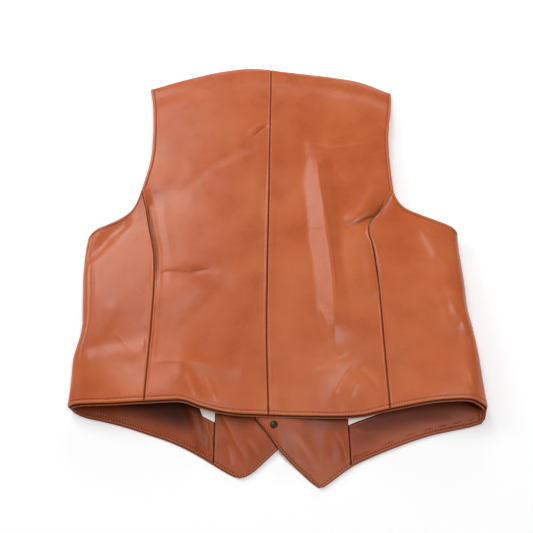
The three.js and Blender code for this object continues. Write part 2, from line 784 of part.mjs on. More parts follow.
// The two fronts with their facings and lining
const fronts = [
  {
    side: 'left',
    grid: frontGrid(
      FRONT_EDGE_LEFT, FRONT_HEM_LEFT, SIDE_LEFT, LEFT_UNDERARM_Y, LEFT_COLUMNS_X, leftFrontLift,
    ),
  },
  {
    side: 'right',
    grid: frontGrid(
      FRONT_EDGE_RIGHT, FRONT_HEM_RIGHT, SIDE_RIGHT, RIGHT_UNDERARM_Y, RIGHT_COLUMNS_X, rightFrontLift,
    ),
  },
];
for (const { side, grid } of fronts) {
  const lastColumn = grid.points.length - 1;
  const lastRow = grid.points[0].length - 1;
  const layerTop = lastRow - TOP_ROLL_STEPS;
  const whole = stretchOf(grid, [0, lastColumn], [0, lastRow], { first: 0, top: 0 });
  addPiece(`front_${side}`, punched(wallOf(whole, 0, LEATHER)), COLOURS.leather);

  const edgeInset = { first: FACING_EDGE_INSET, bottom: FACING_EDGE_INSET };
  const edgeFacing = stretchOf(grid, [0, FACING_COLUMNS], [0, layerTop], edgeInset);
  addPiece(`front_edge_facing_${side}`, punched(wallOf(edgeFacing, FACING_DEPTH, FACING)), COLOURS.facing);

  const hemInset = { bottom: FACING_EDGE_INSET, top: HALF_GAP };
  const hemFacing = stretchOf(grid, [FACING_COLUMNS, lastColumn], [0, HEM_FACING_ROWS], hemInset);
  addPiece(`front_hem_facing_${side}`, wallOf(hemFacing, FACING_DEPTH, FACING), COLOURS.facing);

  const liningInset = { bottom: HALF_GAP };
  const lining = stretchOf(grid, [FACING_COLUMNS, lastColumn], [HEM_FACING_ROWS, layerTop], liningInset);
  addPiece(`front_lining_${side}`, wallOf(lining, FACING_DEPTH, LINING), COLOURS.lining, 0.8);
}

// Snaps that close the fronts: a cap and socket on the left front, a stud and its back on the right
const socketFoot = CAP_LIFT + FRONT_STACK + SEAM_GAP;
const socketTop = socketFoot + SOCKET_HEIGHT;
const recessFloor = socketFoot + SOCKET_FLOOR;
const studFoot = recessFloor + STUD_CLEARANCE;
const rightLeather = CAP_LIFT + FRONT_STACK + OVERLAP_GAP + SNAP_LIFT;
const studBase = rightLeather - SEAM_GAP;
const studBack = rightLeather + FRONT_STACK + SEAM_GAP;
const SOCKET_PROFILE = [
  [0, 0], [4.4, 0], [6.3, 0.8], [6.3, CAP_HEIGHT], [POST_RADIUS, CAP_HEIGHT], [POST_RADIUS, socketFoot],
  [5.2, socketFoot], [5.2, socketTop], [2.7, socketTop], [2.7, recessFloor], [0, recessFloor],
];
const STUD_PROFILE = [
  [0, studFoot], [2.2, studFoot], [2, studBase - STUD_FLANGE], [4.6, studBase - STUD_FLANGE], [4.6, studBase],
  [POST_RADIUS, studBase], [POST_RADIUS, studBack], [4.4, studBack],
  [4.3, studBack + 0.6 * STUD_BACK_HEIGHT], [3.2, studBack + STUD_BACK_HEIGHT],
  [0, studBack + 0.5 * STUD_BACK_HEIGHT],
];

function turned(profile, y) {
  const points = profile.map(([radius, height]) => new THREE.Vector2(radius, height));
  return new THREE.LatheGeometry(points, ROUND_SIDES).rotateX(Math.PI / 2).translate(SNAP_X, y, 0);
}

SNAP_YS.forEach((y, i) => {
  addPiece(`snap_socket_${i + 1}`, turned(SOCKET_PROFILE, y), COLOURS.brass, 0.4, 0.9);
  addPiece(`snap_stud_${i + 1}`, turned(STUD_PROFILE, y), COLOURS.brass, 0.4, 0.9);
});

// The origin goes under the middle of the finished vest
const extent = new THREE.Box3().setFromObject(vest);
const middle = extent.getCenter(new THREE.Vector3());
vest.position.set(-middle.x, -middle.y, -extent.min.z);

export default vest;
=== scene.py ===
"""A tan leather vest, laid flat on its closed fronts and seen on its back.

Each panel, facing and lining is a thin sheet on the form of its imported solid. The sheet's points are
read back from the solid, joined by a smooth surface, and given the creases, the seams and the
topstitched edges that the leather shows. Sizes are in millimetres unless a name says otherwise.
"""
import json
import logging
import math
from dataclasses import dataclass, field
from enum import Enum

import bmesh
import bpy
import numpy as np
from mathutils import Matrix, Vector

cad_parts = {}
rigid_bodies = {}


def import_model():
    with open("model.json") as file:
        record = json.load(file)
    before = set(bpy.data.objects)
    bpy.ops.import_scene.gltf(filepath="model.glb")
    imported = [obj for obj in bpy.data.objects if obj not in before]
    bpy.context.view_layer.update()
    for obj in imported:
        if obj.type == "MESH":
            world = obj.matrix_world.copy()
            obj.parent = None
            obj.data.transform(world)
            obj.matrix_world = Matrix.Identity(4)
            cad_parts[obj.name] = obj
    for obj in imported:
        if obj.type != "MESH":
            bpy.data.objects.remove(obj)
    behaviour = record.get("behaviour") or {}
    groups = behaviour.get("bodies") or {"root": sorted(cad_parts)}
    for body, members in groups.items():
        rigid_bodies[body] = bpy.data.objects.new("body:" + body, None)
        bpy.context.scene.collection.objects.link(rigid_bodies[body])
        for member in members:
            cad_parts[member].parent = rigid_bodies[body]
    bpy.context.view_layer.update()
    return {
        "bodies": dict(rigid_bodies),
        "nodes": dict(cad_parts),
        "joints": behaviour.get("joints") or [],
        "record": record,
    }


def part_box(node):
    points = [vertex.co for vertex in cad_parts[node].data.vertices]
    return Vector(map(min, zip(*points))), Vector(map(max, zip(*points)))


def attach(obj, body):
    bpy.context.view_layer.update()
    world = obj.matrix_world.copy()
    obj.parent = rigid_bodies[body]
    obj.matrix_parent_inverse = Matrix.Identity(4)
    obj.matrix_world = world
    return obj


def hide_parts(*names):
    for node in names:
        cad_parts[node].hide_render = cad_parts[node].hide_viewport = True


LOG = logging.getLogger("vest")

MM = 0.001

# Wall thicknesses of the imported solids, the lining's being that of a facing
LEATHER = 1.2
FACING = 1.0
LAYER_GAP = 0.3
FACING_DEPTH = LEATHER + LAYER_GAP
INNER_DEPTH = FACING_DEPTH + FACING
HALF_GAP = LAYER_GAP / 2
SIDE_SEAM_INSET = 0.25
FACING_EDGE_INSET = 1.7

# Edges of a sheet, those at its sides first
EDGE_NAMES = ("first", "last", "bottom", "top")
SIDE_EDGES = EDGE_NAMES[:2]

# Least length of a vector that is divided by
TINY = 1e-9

# Places in the grids of points that the solids are built on
POINT_COLUMN = 4
FACING_COLUMN = 6
HEM_FACING_ROW = 3
UNDERARM_ROW = 9
SEAM_END_ROW = 18
TOP_ROLL_ROWS = 2
BACK_FACING_ROW = 2

# Sewing
TOPSTITCH_INSET = 4.2
PUCKER_INSET = 7.4
PUCKER_REACH = 2
STITCH_PITCH = 3.3
STITCH_LENGTH = 2.1
STITCH_RADIUS = 0.52

# The step in the left hem facing's seam, and where it lies
SEAM_STEP = 14.0
SEAM_STEP_X = (81.0, 90.0)

# The rounding of the fronts' points, its share by which the tip moves out again, and where it fades
TIP_ROUNDING = 3.5
TIP_SHARE = 0.6
TIP_REACH = (10, 45)

# Distance by which the sewn edges close the gap between two panels
SEAM_PUSH = 0.12

# Places along between which the right side-back seam sinks into its crease
HIDDEN_SEAM = (20.0, 44.0)

# The side ends of the hem bulge out in plan, around these points
HEM_ENDS = {"left": (-234, -226), "right": (236, -228)}
HEM_END_BULGE = 2.2
HEM_END_REACH = 9.0
HEM_END_WAY = (0.8, -0.6)

# Ridges with a side under this width get a painted highlight, low ones less by this height
NARROW_RIDGE = 3.2
LOW_RIDGE = 0.3

# Cross-sections of the creases: fall of a sharp one, share of the width that a faded end keeps, and
# rounding of a facet's foot
SHARP_FALL = 1.3
SHARP_END_WIDTH = 0.5
SOFT_END_WIDTH = 0.65
FACET_ROUNDING = 0.06

# Reach of a crease in its own widths, and its unevenness along: share, size and start of the draw
CREASE_REACH = 2.6
CREASE_UNEVEN = 0.2
CREASE_UNEVEN_SIZE = 17
CREASE_SEED = 40

# Points on each side of the lattice of random values
LATTICE = 256

# Reading back a solid: joined points, least upward share of the first face, and greatest bend in degrees
WELD = 1e-6
UPWARD = 0.8
SAME_FACE_BEND = 50

# Evening out of the heights round the row at which the back panels have a corner
CALM_ROWS = 2.5
CALM_COLUMNS = 4
CALM_PASSES = 4

# A fold of a panel's form fades out this far from the hem, or between these distances from the last edge
HEM_BEND_REACH = 70
EDGE_BEND_REACH = (22, 2)

# Straightened stretches: passes that soften their bends, and the reach of a ridge that stays sharp
SOFTENING_PASSES = 6
SHARP_REACH = 4

# Points on each line that measures a panel, and lines that guess the spacing
LINE_SAMPLES = 240
GUIDE_LINES = 60

# Greatest share of a line that its fine stretches take up
FINE_SHARE = 0.8

# Gentle waves of the leather: share of the height, size of a wave and start of the draw
WAVES = ((0.55, 46, 3), (0.3, 21, 5), (0.1, 9, 7))

# Share of the waves that is left at the hem and the top, and the distance over which they grow
WAVE_LEFT = 0.35
WAVE_EDGE = 22

# Share of a fold along an edge over which it fades, at each end
FOLD_FADE = 0.3

# Places from the corner of the last edge between which the seam turns into the armhole's edge
ARMHOLE_TURN = (-2, 6)

# Reach of a pushed edge: the least, and by its push and its drop
PUSH_REACH = 0.9
PUSH_SPREAD = 5
DROP_SPREAD = 3

# Unevenness of the edges along their length: share, size and start of the draw
EDGE_UNEVEN = 0.35
EDGE_UNEVEN_SIZE = 14
EDGE_SEED = 60

# Painted light of the hide: strength of the painted highlight on the ridges, and the valley whose painted
# shade is darkest
RIDGE_HIGHLIGHT = 0.8
DEEPEST_VALLEY = 1.1

# Places between which painted shadow darkens the facing deep inside the hem, where the back's hem shades it:
# up from the edge, and out from the middle
INSIDE_DEPTH = (5, 28)
INSIDE_X = (66, 112)

# Painted shade under the back's hem on the dropped facing, the painted highlight on its rim, and painted
# shade on a cut rim, by distance from the edge
DROPPED_SHADE = 0.9
DROPPED_SHADE_REACH = (0.6, 1.2)
DROPPED_HIGHLIGHT_REACH = (0.3, 1)
RIM_SHADE_REACH = (3, 6)

Path = tuple[tuple[float, float], ...]


class Side(Enum):
    """The half of the vest that a piece belongs to, as the back is looked at."""

    LEFT = "left"
    RIGHT = "right"


class Looks(Enum):
    """The way that a sheet's finished face looks."""

    OUT = 1
    IN = -1


class Edge(Enum):
    """How one edge of a sheet is finished."""

    SEAM = "sewn to the next panel"
    TURNED = "turned under and topstitched"
    PLAIN = "left plain"


class Profile(Enum):
    """The cross-section of a crease."""

    SOFT = "rounded on both sides"
    SHARP = "a sharp line with hollow sides"
    FACET = "a straight slope up from the left to a sharp ridge"


@dataclass(frozen=True)
class Crease:
    """One fold of the leather, a ridge where it rises and a valley where it falls.

    Attributes:
        path: Plan points along the fold.
        rise: Height of the ridge, negative for a valley.
        left: Reach to the left of the path, as it is walked.
        right: Reach to the right of the path.
        start: Share of the path over which the fold fades in.
        end: Share of the path over which the fold fades out.
        profile: Its cross-section.
    """

    path: Path
    rise: float
    left: float
    right: float
    start: float = 0.3
    end: float = 0.3
    profile: Profile = Profile.SOFT


@dataclass(frozen=True)
class EdgeFold:
    """A ridge or valley that follows an edge of a panel.

    Attributes:
        edge: Name of the edge.
        low: Place along, where it fades in.
        high: Place along, where it fades out.
        rise: Height of the ridge, negative for a valley.
        reach: Reach to either side of its crest.
        offset: Distance of its crest from the edge.
    """

    edge: str
    low: float
    high: float
    rise: float
    reach: float
    offset: float = 0.0


@dataclass(frozen=True)
class Regrade:
    """A stretch of a panel that runs straight from line to line.

    Attributes:
        lines: Lines up the panel, from left to right, each a path that is walked upwards.
        leans: Tilt in degrees of each stretch except the last, which runs to where the panel lies.
        low: Place along, where it fades in.
        high: Place along, where it fades out.
        fade: Length over which it fades.
        ridge: Number of the line that stays sharp.
    """

    lines: tuple[Path, ...]
    leans: tuple[float, ...]
    low: float
    high: float
    fade: float
    ridge: int | None = None


@dataclass(frozen=True)
class SewnForm:
    """Cross-section of the leather beside a seam, with its reaches and places away from the seam, the reach
    of its painted shade and the strength, place and reach of its painted highlight.
    """

    sink: float = 1.0
    sink_reach: float = 0.75
    lip: float = 0.3
    lip_place: float = 1.7
    lip_reach: float = 1.0
    allowance: float = 0.12
    allowance_rise: tuple[float, float] = (0.5, 4)
    allowance_fall: tuple[float, float] = (5, 11)
    shade_reach: float = 0.8
    painted_highlight: float = 0.6
    highlight_place: float = 1.8
    highlight_reach: float = 0.9
    hidden: float = 0.8

    def height(self, d: np.ndarray, uneven: np.ndarray) -> tuple[np.ndarray, np.ndarray]:
        """Heights beside the seam.

        Args:
            d: Distances from the seam.
            uneven: Share by which the form is stronger or weaker there.

        Returns:
            Heights of the roll into the seam and of the seam allowance under the leather.
        """
        roll = -self.sink * np.exp(-(d / self.sink_reach) ** 2)
        roll = roll + self.lip * uneven * np.exp(-((d - self.lip_place) / self.lip_reach) ** 2)
        allowance = self.allowance * uneven * ease(d, *self.allowance_rise)
        return roll, allowance * (1 - ease(d, *self.allowance_fall))


@dataclass(frozen=True)
class TurnedForm:
    """Cross-section of a turned and topstitched edge, with its reaches and places away from the edge, the
    painted shade of its stitch groove and the place of the painted highlight on its lip.
    """

    lip: float = 0.4
    lip_rise: float = 1.4
    lip_fall: tuple[float, float] = (2.6, 4.4)
    groove: float = 0.35
    groove_reach: float = 0.85
    groove_shade: float = 0.75
    rounding: float = 0.35
    rounding_reach: float = 0.9
    highlight_place: float = 1.6
    highlight_reach: float = 1.2


SEWN = SewnForm()
TURNED = TurnedForm()

# The long finger of light leather, whose flat flank climbs to a sharp ridge
FINGER = Regrade(
    lines=(
        ((15, -168), (15, 150)),
        ((58, -165), (55, -125), (52, -85), (50, -60), (48, -31), (44, 0), (43, 27), (42, 50), (40, 72),
         (39.5, 92), (43, 113), (49, 132), (56, 152)),
        ((72, -165), (71, -125), (71, -85), (71, -59), (70, -35), (68, -11), (66, 11), (64, 42), (62, 73),
         (60, 106), (58, 152)),
        ((94, -165), (92, -120), (88, -60), (85, 0), (83, 42), (80, 100), (74, 142)),
    ),
    leans=(1.5, 13.0), low=-150, high=150, fade=34, ridge=2,
)
# The plain leather beside the right side-back seam
RIGHT_PLAIN = Regrade(
    lines=(((96, -110), (88, -60), (85, -20), (85, 40)), ((121, -110), (119, -40), (117, 0), (114, 40))),
    leans=(), low=-112, high=34, fade=26,
)
# The plain leather in the middle of the left side panel
LEFT_SIDE_PLAIN = Regrade(
    lines=(((-213, -175), (-213, -45)), ((-153, -175), (-156, -45))),
    leans=(), low=-172, high=-42, fade=34,
)
# The plain leather beside the left side-back seam, up to the narrow valley
LEFT_PLAIN = Regrade(
    lines=(((-147, -100), (-147, -50), (-150, -20), (-158, 10), (-161, 40), (-158, 80)),
           ((-108, -100), (-108, 80))),
    leans=(), low=-98, high=96, fade=24,
)

BACK_CREASES = (
    # The line beside the finger of light leather
    Crease(((61, 84), (66, 42), (69, 11), (71, -11), (73, -35), (74, -59), (74, -85), (73, -108)),
           0.5, 1.1, 1.4, 0.2, 0.3),
    Crease(((52, -85), (56, -100), (62, -118), (60, -150)), 0.4, 6, 3),
    Crease(((40, 16), (52, 13), (66, 11)), -0.3, 1.3, 1.5, 0.3, 0.2, Profile.SHARP),
    # The smile-shaped crease under the right arm, and the lip of the seam below it
    Crease(((85, 14), (98, 20), (111, 25), (121, 31), (130, 35), (138, 44), (144, 55), (147, 66)),
           -1.5, 1.6, 2.6, 0.45, 0.3, Profile.SHARP),
    Crease(((84, 22), (104, 30), (122, 38), (134, 52)), 0.6, 8, 6),
    Crease(((88, 8), (104, 14), (116, 20)), 0.4, 5, 5),
    Crease(((90, 59), (104, 83), (124, 104)), 0.25, 9, 7),
    # Creases across the left panel
    Crease(((-144, -51), (-135, -46), (-123, -45), (-109, -46), (-92, -44), (-73, -41)), -0.9, 1.2, 2.6,
           0.15, 0.35, Profile.SHARP),
    Crease(((-138, -40), (-108, -39), (-84, -36)), 0.3, 5, 4),
    Crease(((-7, 185), (-12, 181), (-20, 174), (-31, 160)), -1.3, 1.2, 3, 0.15, 0.5, Profile.SHARP),
    Crease(((-9, 190), (-24, 182), (-36, 166)), 0.35, 4, 3),
    Crease(((-32, 148), (-66, 126), (-98, 98), (-130, 66)), -0.7, 11, 10),
    Crease(((-13, 143), (-45, 126), (-79, 110), (-111, 90)), 0.5, 9, 8),
    Crease(((-120, -118), (-92, -84), (-70, -66)), 0.4, 14, 10),
    Crease(((-60, -40), (-40, -74), (-34, -112)), 0.3, 14, 12),
    # The left side panel
    Crease(((-231, -26), (-222, -12), (-211, 2), (-193, 20)), -0.5, 9, 8),
    Crease(((-190, -80), (-196, -104), (-204, -124), (-211, -150)), 0.6, 9, 9),
    Crease(((-190, -124), (-181, -134), (-171, -145), (-161, -154)), 0.25, 1.5, 1.5),
    Crease(((-233, -150), (-230, -180), (-228, -205)), 0.4, 3, 4),
    # Above the hem on the left
    Crease(((-143, -166), (-120, -163), (-95, -164), (-67, -168)), 0.45, 7, 2.2),
    Crease(((-101, -172), (-97, -184), (-92, -196), (-89, -206)), 0.75, 4, 2.6),
    Crease(((-79, -176), (-75, -188), (-70, -200), (-65, -211)), 0.7, 3.6, 2.4),
    Crease(((-88, -176), (-84, -190), (-79, -206)), -0.5, 4, 4),
    # The fan of wrinkles above the hem on the right
    Crease(((62, -206), (72, -188), (81, -174), (89, -165)), -0.6, 2.5, 3.5),
    Crease(((93, -168), (104, -176), (114, -188), (118, -200)), 0.7, 5, 3),
    Crease(((84, -206), (90, -192), (98, -182)), 0.5, 4, 3.5),
    Crease(((44, -160), (67, -161), (81, -157), (92, -150)), -0.6, 2.6, 4),
    Crease(((33, -169), (50, -168), (67, -163), (84, -163)), 0.45, 4, 3),
    Crease(((139, -161), (154, -166), (170, -171), (187, -172)), 0.45, 5, 4),
    # The right side panel
    Crease(((184, 26), (192, 6), (200, -14), (208, -34), (217, -56)), 1.5, 9, 7, 0.35, 0.4),
    Crease(((211, -90), (214, -105), (219, -116), (224, -127)), 0.9, 3.6, 5),
    Crease(((202, -20), (201, -60), (204, -92), (210, -112)), -0.4, 6, 6),
    Crease(((219, -172), (220, -184), (222, -198)), 0.6, 2.5, 3),
    # Light marks near the neck and shoulder
    Crease(((-90, 284), (-16, 294), (40, 285), (110, 275)), 0.7, 4, 4, 0.2, 0.2),
    Crease(((23, 153), (54, 151), (78, 146), (97, 148), (122, 152), (145, 155)), 0.3, 2.5, 2.5),
    Crease(((81, 125), (92, 101), (104, 88)), 0.16, 2.2, 2.2),
    Crease(((121, 128), (104, 118), (89, 102)), -0.22, 3, 5),
    Crease(((144, 199), (152, 190), (161, 181)), -0.6, 3, 4),
)

LEFT_CENTRE_FOLDS = (
    EdgeFold("last", -72, 66, -2.2, 2.6, 3.0),
    EdgeFold("last", -205, -80, 0.35, 1.1, 1.9),
    EdgeFold("first", -170, 130, 0.5, 1.3, 1.9),
)
LEFT_FLANK_FOLDS = (EdgeFold("first", -84, 74, 0.5, 1.4, 1.5),)
RIGHT_CENTRE_FOLDS = (
    EdgeFold("last", -40, 27, 0.7, 1.5, 2.0),
    EdgeFold("first", -120, 60, -0.2, 3),
)
RIGHT_FLANK_FOLDS = (
    EdgeFold("first", -70, 20, -1.3, 3.4),
    EdgeFold("first", -210, -50, 0.45, 1.1, 1.8),
)

INNER_CREASES = (
    # The left hem facing bulges over a valley, beside a narrow ridge
    Crease(((-102, -206), (-94, -222), (-88, -235), (-87, -247), (-91, -260)), 3.6, 14, 3.6, 0.12, 0.35),
    Crease(((-88, -210), (-83, -227), (-80, -237), (-80, -246), (-83, -257)), -1.2, 1.8, 1.6, 0.1, 0.35,
           Profile.SHARP),
    Crease(((-79, -224), (-75, -237), (-71.5, -248), (-71, -262)), 1.3, 2, 1.5, 0.15, 0.3),
    # The fold and the pulls of the left front facing
    Crease(((-64, -212), (-57, -227), (-50, -238), (-43, -253), (-35, -266), (-28, -279)),
           2.2, 10, 1.3, 0.15, 0.4, Profile.FACET),
    Crease(((-52, -252), (-49, -267), (-49, -279)), 1.0, 2.4, 1.6),
    Crease(((-31, -246), (-24, -258), (-17, -266)), 1.0, 2.6, 1.8),
    Crease(((-21, -229), (-21, -240)), 0.7, 2, 1.6),
    # The right front facing
    Crease(((66, -236), (73, -250), (77, -262), (78, -276)), 1.7, 3.6, 2),
    Crease(((58, -236), (63, -254), (64, -274)), 0.7, 5, 4),
    Crease(((85, -234), (102, -240), (118, -238)), 0.6, 3, 2.4),
    Crease(((150, -226), (176, -229), (206, -226)), 0.5, 6, 4),
    Crease(((-150, -222), (-178, -222), (-204, -216)), 0.5, 6, 6),
)


def soft_noise(x: np.ndarray, y: np.ndarray, cell: float, seed: int) -> np.ndarray:
    """Smooth uneven values between -1 and 1.

    Args:
        x: Places across, in millimetres.
        y: Places along, in millimetres.
        cell: Distance between two independent values.
        seed: Start of the random draw.

    Returns:
        A value for each place.
    """
    lattice = np.random.default_rng(seed).uniform(-1, 1, (LATTICE, LATTICE))
    u = np.asarray(x) / cell + LATTICE / 2
    v = np.asarray(y) / cell + LATTICE / 2
    i = np.floor(u).astype(int)
    j = np.floor(v).astype(int)
    fu = u - i
    fv = v - j
    fu = fu * fu * fu * (fu * (6 * fu - 15) + 10)
    fv = fv * fv * fv * (fv * (6 * fv - 15) + 10)
    left, right = i % LATTICE, (i + 1) % LATTICE
    below, above = j % LATTICE, (j + 1) % LATTICE
    low = lattice[left, below] * (1 - fu) + lattice[right, below] * fu
    high = lattice[left, above] * (1 - fu) + lattice[right, above] * fu
    return low * (1 - fv) + high * fv


def ease(value: np.ndarray, low: float, high: float) -> np.ndarray:
    """Smooth rise from 0 at the low value to 1 at the high one."""
    share = np.clip((value - low) / (high - low), 0, 1)
    return share * share * (3 - 2 * share)


def rounded_path(path: Path, steps: int = 8) -> np.ndarray:
    """Curve through the points of a path.

    Args:
        path: Plan points.
        steps: Stretches between two points.

    Returns:
        The curve's points, one for each row.
    """
    points = np.array(path, float)
    padded = np.vstack([2 * points[0] - points[1], points, 2 * points[-1] - points[-2]])
    curve = []
    for k in range(1, len(padded) - 2):
        before, start, stop, after = padded[k - 1:k + 3]
        for t in np.linspace(0, 1, steps, endpoint=False):
            curve.append(0.5 * (2 * start + (stop - before) * t
                                + (2 * before - 5 * start + 4 * stop - after) * t ** 2
                                + (3 * start - before - 3 * stop + after) * t ** 3))
    curve.append(points[-1])
    return np.array(curve)


def crease_profile(crease: Crease, distance: np.ndarray, signed: np.ndarray,
                   fade: np.ndarray, uneven: np.ndarray) -> np.ndarray:
    """Height of one crease across its path.

    Args:
        crease: The fold.
        distance: Distance of each point from the path.
        signed: Positive where the point lies to the right of the path.
        fade: Strength of the fold beside each point, from 0 to 1.
        uneven: Share by which the fold is stronger or weaker there.

    Returns:
        Height of each point, in millimetres.
    """
    side = np.where(signed > 0, crease.right, crease.left)
    if crease.profile is Profile.SHARP:
        width = side * (SHARP_END_WIDTH + (1 - SHARP_END_WIDTH) * fade) * uneven
        shape = np.exp(-SHARP_FALL * distance / width)
    elif crease.profile is Profile.FACET:
        slope = np.clip(1 - distance / np.maximum(crease.left * fade * uneven, 0.1), 0, 1)
        slope = slope * slope / (slope + FACET_ROUNDING) * (1 + FACET_ROUNDING)
        shape = np.where(signed > 0, np.exp(-(distance / crease.right) ** 2), slope)
    else:
        width = side * (SOFT_END_WIDTH + (1 - SOFT_END_WIDTH) * fade) * uneven
        shape = np.exp(-(distance / width) ** 2)
    return crease.rise * fade * uneven * shape


def crease_height(x: np.ndarray, y: np.ndarray, creases: tuple[Crease, ...]) -> tuple[np.ndarray, ...]:
    """Sum of the creases over a sheet, each uneven along its path.

    Args:
        x: Places across, in millimetres.
        y: Places along, in millimetres.
        creases: The folds to add up.

    Returns:
        Height at each place, depth of the sharp valleys and strength of the narrow ridges there.
    """
    total = np.zeros_like(x)
    valleys = np.zeros_like(x)
    ridges = np.zeros_like(x)
    for number, crease in enumerate(creases):
        curve = rounded_path(crease.path)
        margin = CREASE_REACH * max(crease.left, crease.right)
        low = curve.min(axis=0) - margin
        high = curve.max(axis=0) + margin
        near = (x > low[0]) & (x < high[0]) & (y > low[1]) & (y < high[1])
        if not near.any():
            continue
        px, py = x[near], y[near]
        steps = np.linalg.norm(np.diff(curve, axis=0), axis=1)
        along = np.concatenate([[0], np.cumsum(steps)])
        nearest = np.full(px.shape, np.inf)
        signed = np.zeros_like(px)
        share = np.zeros_like(px)
        for k, step in enumerate(steps):
            ax, ay = curve[k]
            tx, ty = (curve[k + 1] - curve[k]) / step
            forward = np.clip((px - ax) * tx + (py - ay) * ty, 0, step)
            dx = px - ax - forward * tx
            dy = py - ay - forward * ty
            distance = np.hypot(dx, dy)
            closer = distance < nearest
            nearest = np.where(closer, distance, nearest)
            signed = np.where(closer, dx * ty - dy * tx, signed)
            share = np.where(closer, (along[k] + forward) / along[-1], share)
        fade = ease(share, 0, crease.start) * ease(1 - share, 0, crease.end)
        noise = soft_noise(share * along[-1], np.zeros_like(share), CREASE_UNEVEN_SIZE, CREASE_SEED + number)
        uneven = 1 + CREASE_UNEVEN * noise
        height = crease_profile(crease, nearest, signed, fade, uneven)
        total[near] += height
        # Sharp valleys get painted shade in the hide's colour
        if crease.profile is Profile.SHARP:
            valleys[near] = np.maximum(valleys[near], -height)
        # Narrow ridges get a painted highlight in the hide's colour
        if crease.rise > 0 and min(crease.left, crease.right) < NARROW_RIDGE:
            ridges[near] = np.maximum(ridges[near], height / (LOW_RIDGE + crease.rise))
    return total, valleys, ridges


def flat_linked(seed: bmesh.types.BMFace, limit: float) -> set[bmesh.types.BMFace]:
    """Faces joined to one by edges that bend less than a limit.

    Args:
        seed: The first face.
        limit: Greatest bend in radians.

    Returns:
        The faces of the sheet.
    """
    sheet = {seed}
    waiting = [seed]
    while waiting:
        face = waiting.pop()
        for edge in face.edges:
            if len(edge.link_faces) == 2 and edge.calc_face_angle() < limit:
                for other in edge.link_faces:
                    if other not in sheet:
                        sheet.add(other)
                        waiting.append(other)
    return sheet


def boundary_loops(sheet: set[bmesh.types.BMFace]) -> list[list[bmesh.types.BMVert]]:
    """Closed loops of points round a sheet and its holes, the longest first."""
    links: dict[bmesh.types.BMVert, list[bmesh.types.BMVert]] = {}
    for face in sheet:
        for edge in face.edges:
            if sum(1 for other in edge.link_faces if other in sheet) == 1:
                first, second = edge.verts
                links.setdefault(first, []).append(second)
                links.setdefault(second, []).append(first)
    loops = []
    while links:
        start = next(iter(links))
        loop = [start]
        previous = None
        current = start
        while True:
            step = next((v for v in links[current] if v is not previous), links[current][0])
            previous, current = current, step
            if current is start:
                break
            loop.append(current)
        for vert in loop:
            links.pop(vert)
        loops.append(loop)
    return sorted(loops, key=len, reverse=True)


def read_grid(node: bpy.types.Object, upwards: bool, first_x: float) -> np.ndarray:
    """Reads a cloth solid's outer face back as rows and columns of points.

    Args:
        node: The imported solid.
        upwards: Whether the outer face looks up.
        first_x: Place across of the first column at the hem, in millimetres.

    Returns:
        Points in millimetres, by column, row and axis.
    """
    mesh = bmesh.new()
    mesh.from_mesh(node.data)
    bmesh.ops.remove_doubles(mesh, verts=mesh.verts, dist=WELD)
    mesh.normal_update()
    way = 1 if upwards else -1
    seed = max((f for f in mesh.faces if f.normal.z * way > UPWARD), key=lambda f: f.calc_area())
    sheet = flat_linked(seed, math.radians(SAME_FACE_BEND))
    outer, *holes = boundary_loops(sheet)
    rims = {vert for loop in holes for vert in loop}
    corners = [v for v in outer if sum(1 for f in v.link_faces if f in sheet) <= 2]
    low = sorted(corners, key=lambda v: v.co.y)[:2]
    start = min(low, key=lambda v: abs(v.co.x / MM - first_x))
    turn = outer.index(start)
    loop = outer[turn:] + outer[:turn]
    second = next(v for v in low if v is not start)
    if next(v for v in loop[1:] if v in corners) is not second:
        loop = [loop[0]] + loop[:0:-1]
    marks = [loop.index(v) for v in corners]
    _, one, two, three = sorted(marks)
    bottom = loop[:one + 1]
    last = loop[one:two + 1]
    top = loop[two:three + 1][::-1]
    first = ([*loop[three:], loop[0]])[::-1]
    grid = [[None] * len(first) for _ in bottom]
    for j, (left, right) in enumerate(zip(first, last, strict=True)):
        grid[0][j] = left
        grid[-1][j] = right
    for i, (below, above) in enumerate(zip(bottom, top, strict=True)):
        grid[i][0] = below
        grid[i][-1] = above
    members = {v for f in sheet for v in f.verts}
    free = members - set(outer) - rims
    for i in range(1, len(bottom) - 1):
        for j in range(1, len(first) - 1):
            below, beside = grid[i][j - 1], grid[i - 1][j]
            joined = {e.other_vert(below) for e in below.link_edges}
            joined &= {e.other_vert(beside) for e in beside.link_edges}
            guess = below.co + beside.co - grid[i - 1][j - 1].co
            grid[i][j] = min((joined & free) or free, key=lambda v: (v.co - guess).length)
            free.discard(grid[i][j])
    points = np.array([[tuple(v.co) for v in column] for column in grid]) / MM
    mesh.free()
    return points


def calmed(points: np.ndarray, row: int) -> np.ndarray:
    """Evens out the heights round one row of a grid, less so towards the last column.

    Args:
        points: Points by column, row and axis.
        row: The row at which the last edge has a corner.

    Returns:
        The calmed points.
    """
    heights = points[..., 2].copy()
    rows = np.arange(points.shape[1])
    columns = np.arange(points.shape[0])
    near_row = np.exp(-((rows - row) / CALM_ROWS) ** 2)
    from_last = np.clip((points.shape[0] - 1 - columns) / CALM_COLUMNS, 0, 1)
    weight = near_row[None, :] * from_last[:, None]
    for _ in range(CALM_PASSES):
        even = heights.copy()
        even[:, 1:-1] = (heights[:, :-2] + 2 * heights[:, 1:-1] + heights[:, 2:]) / 4
        heights += weight * (even - heights)
    calm = points.copy()
    calm[..., 2] = heights
    return calm


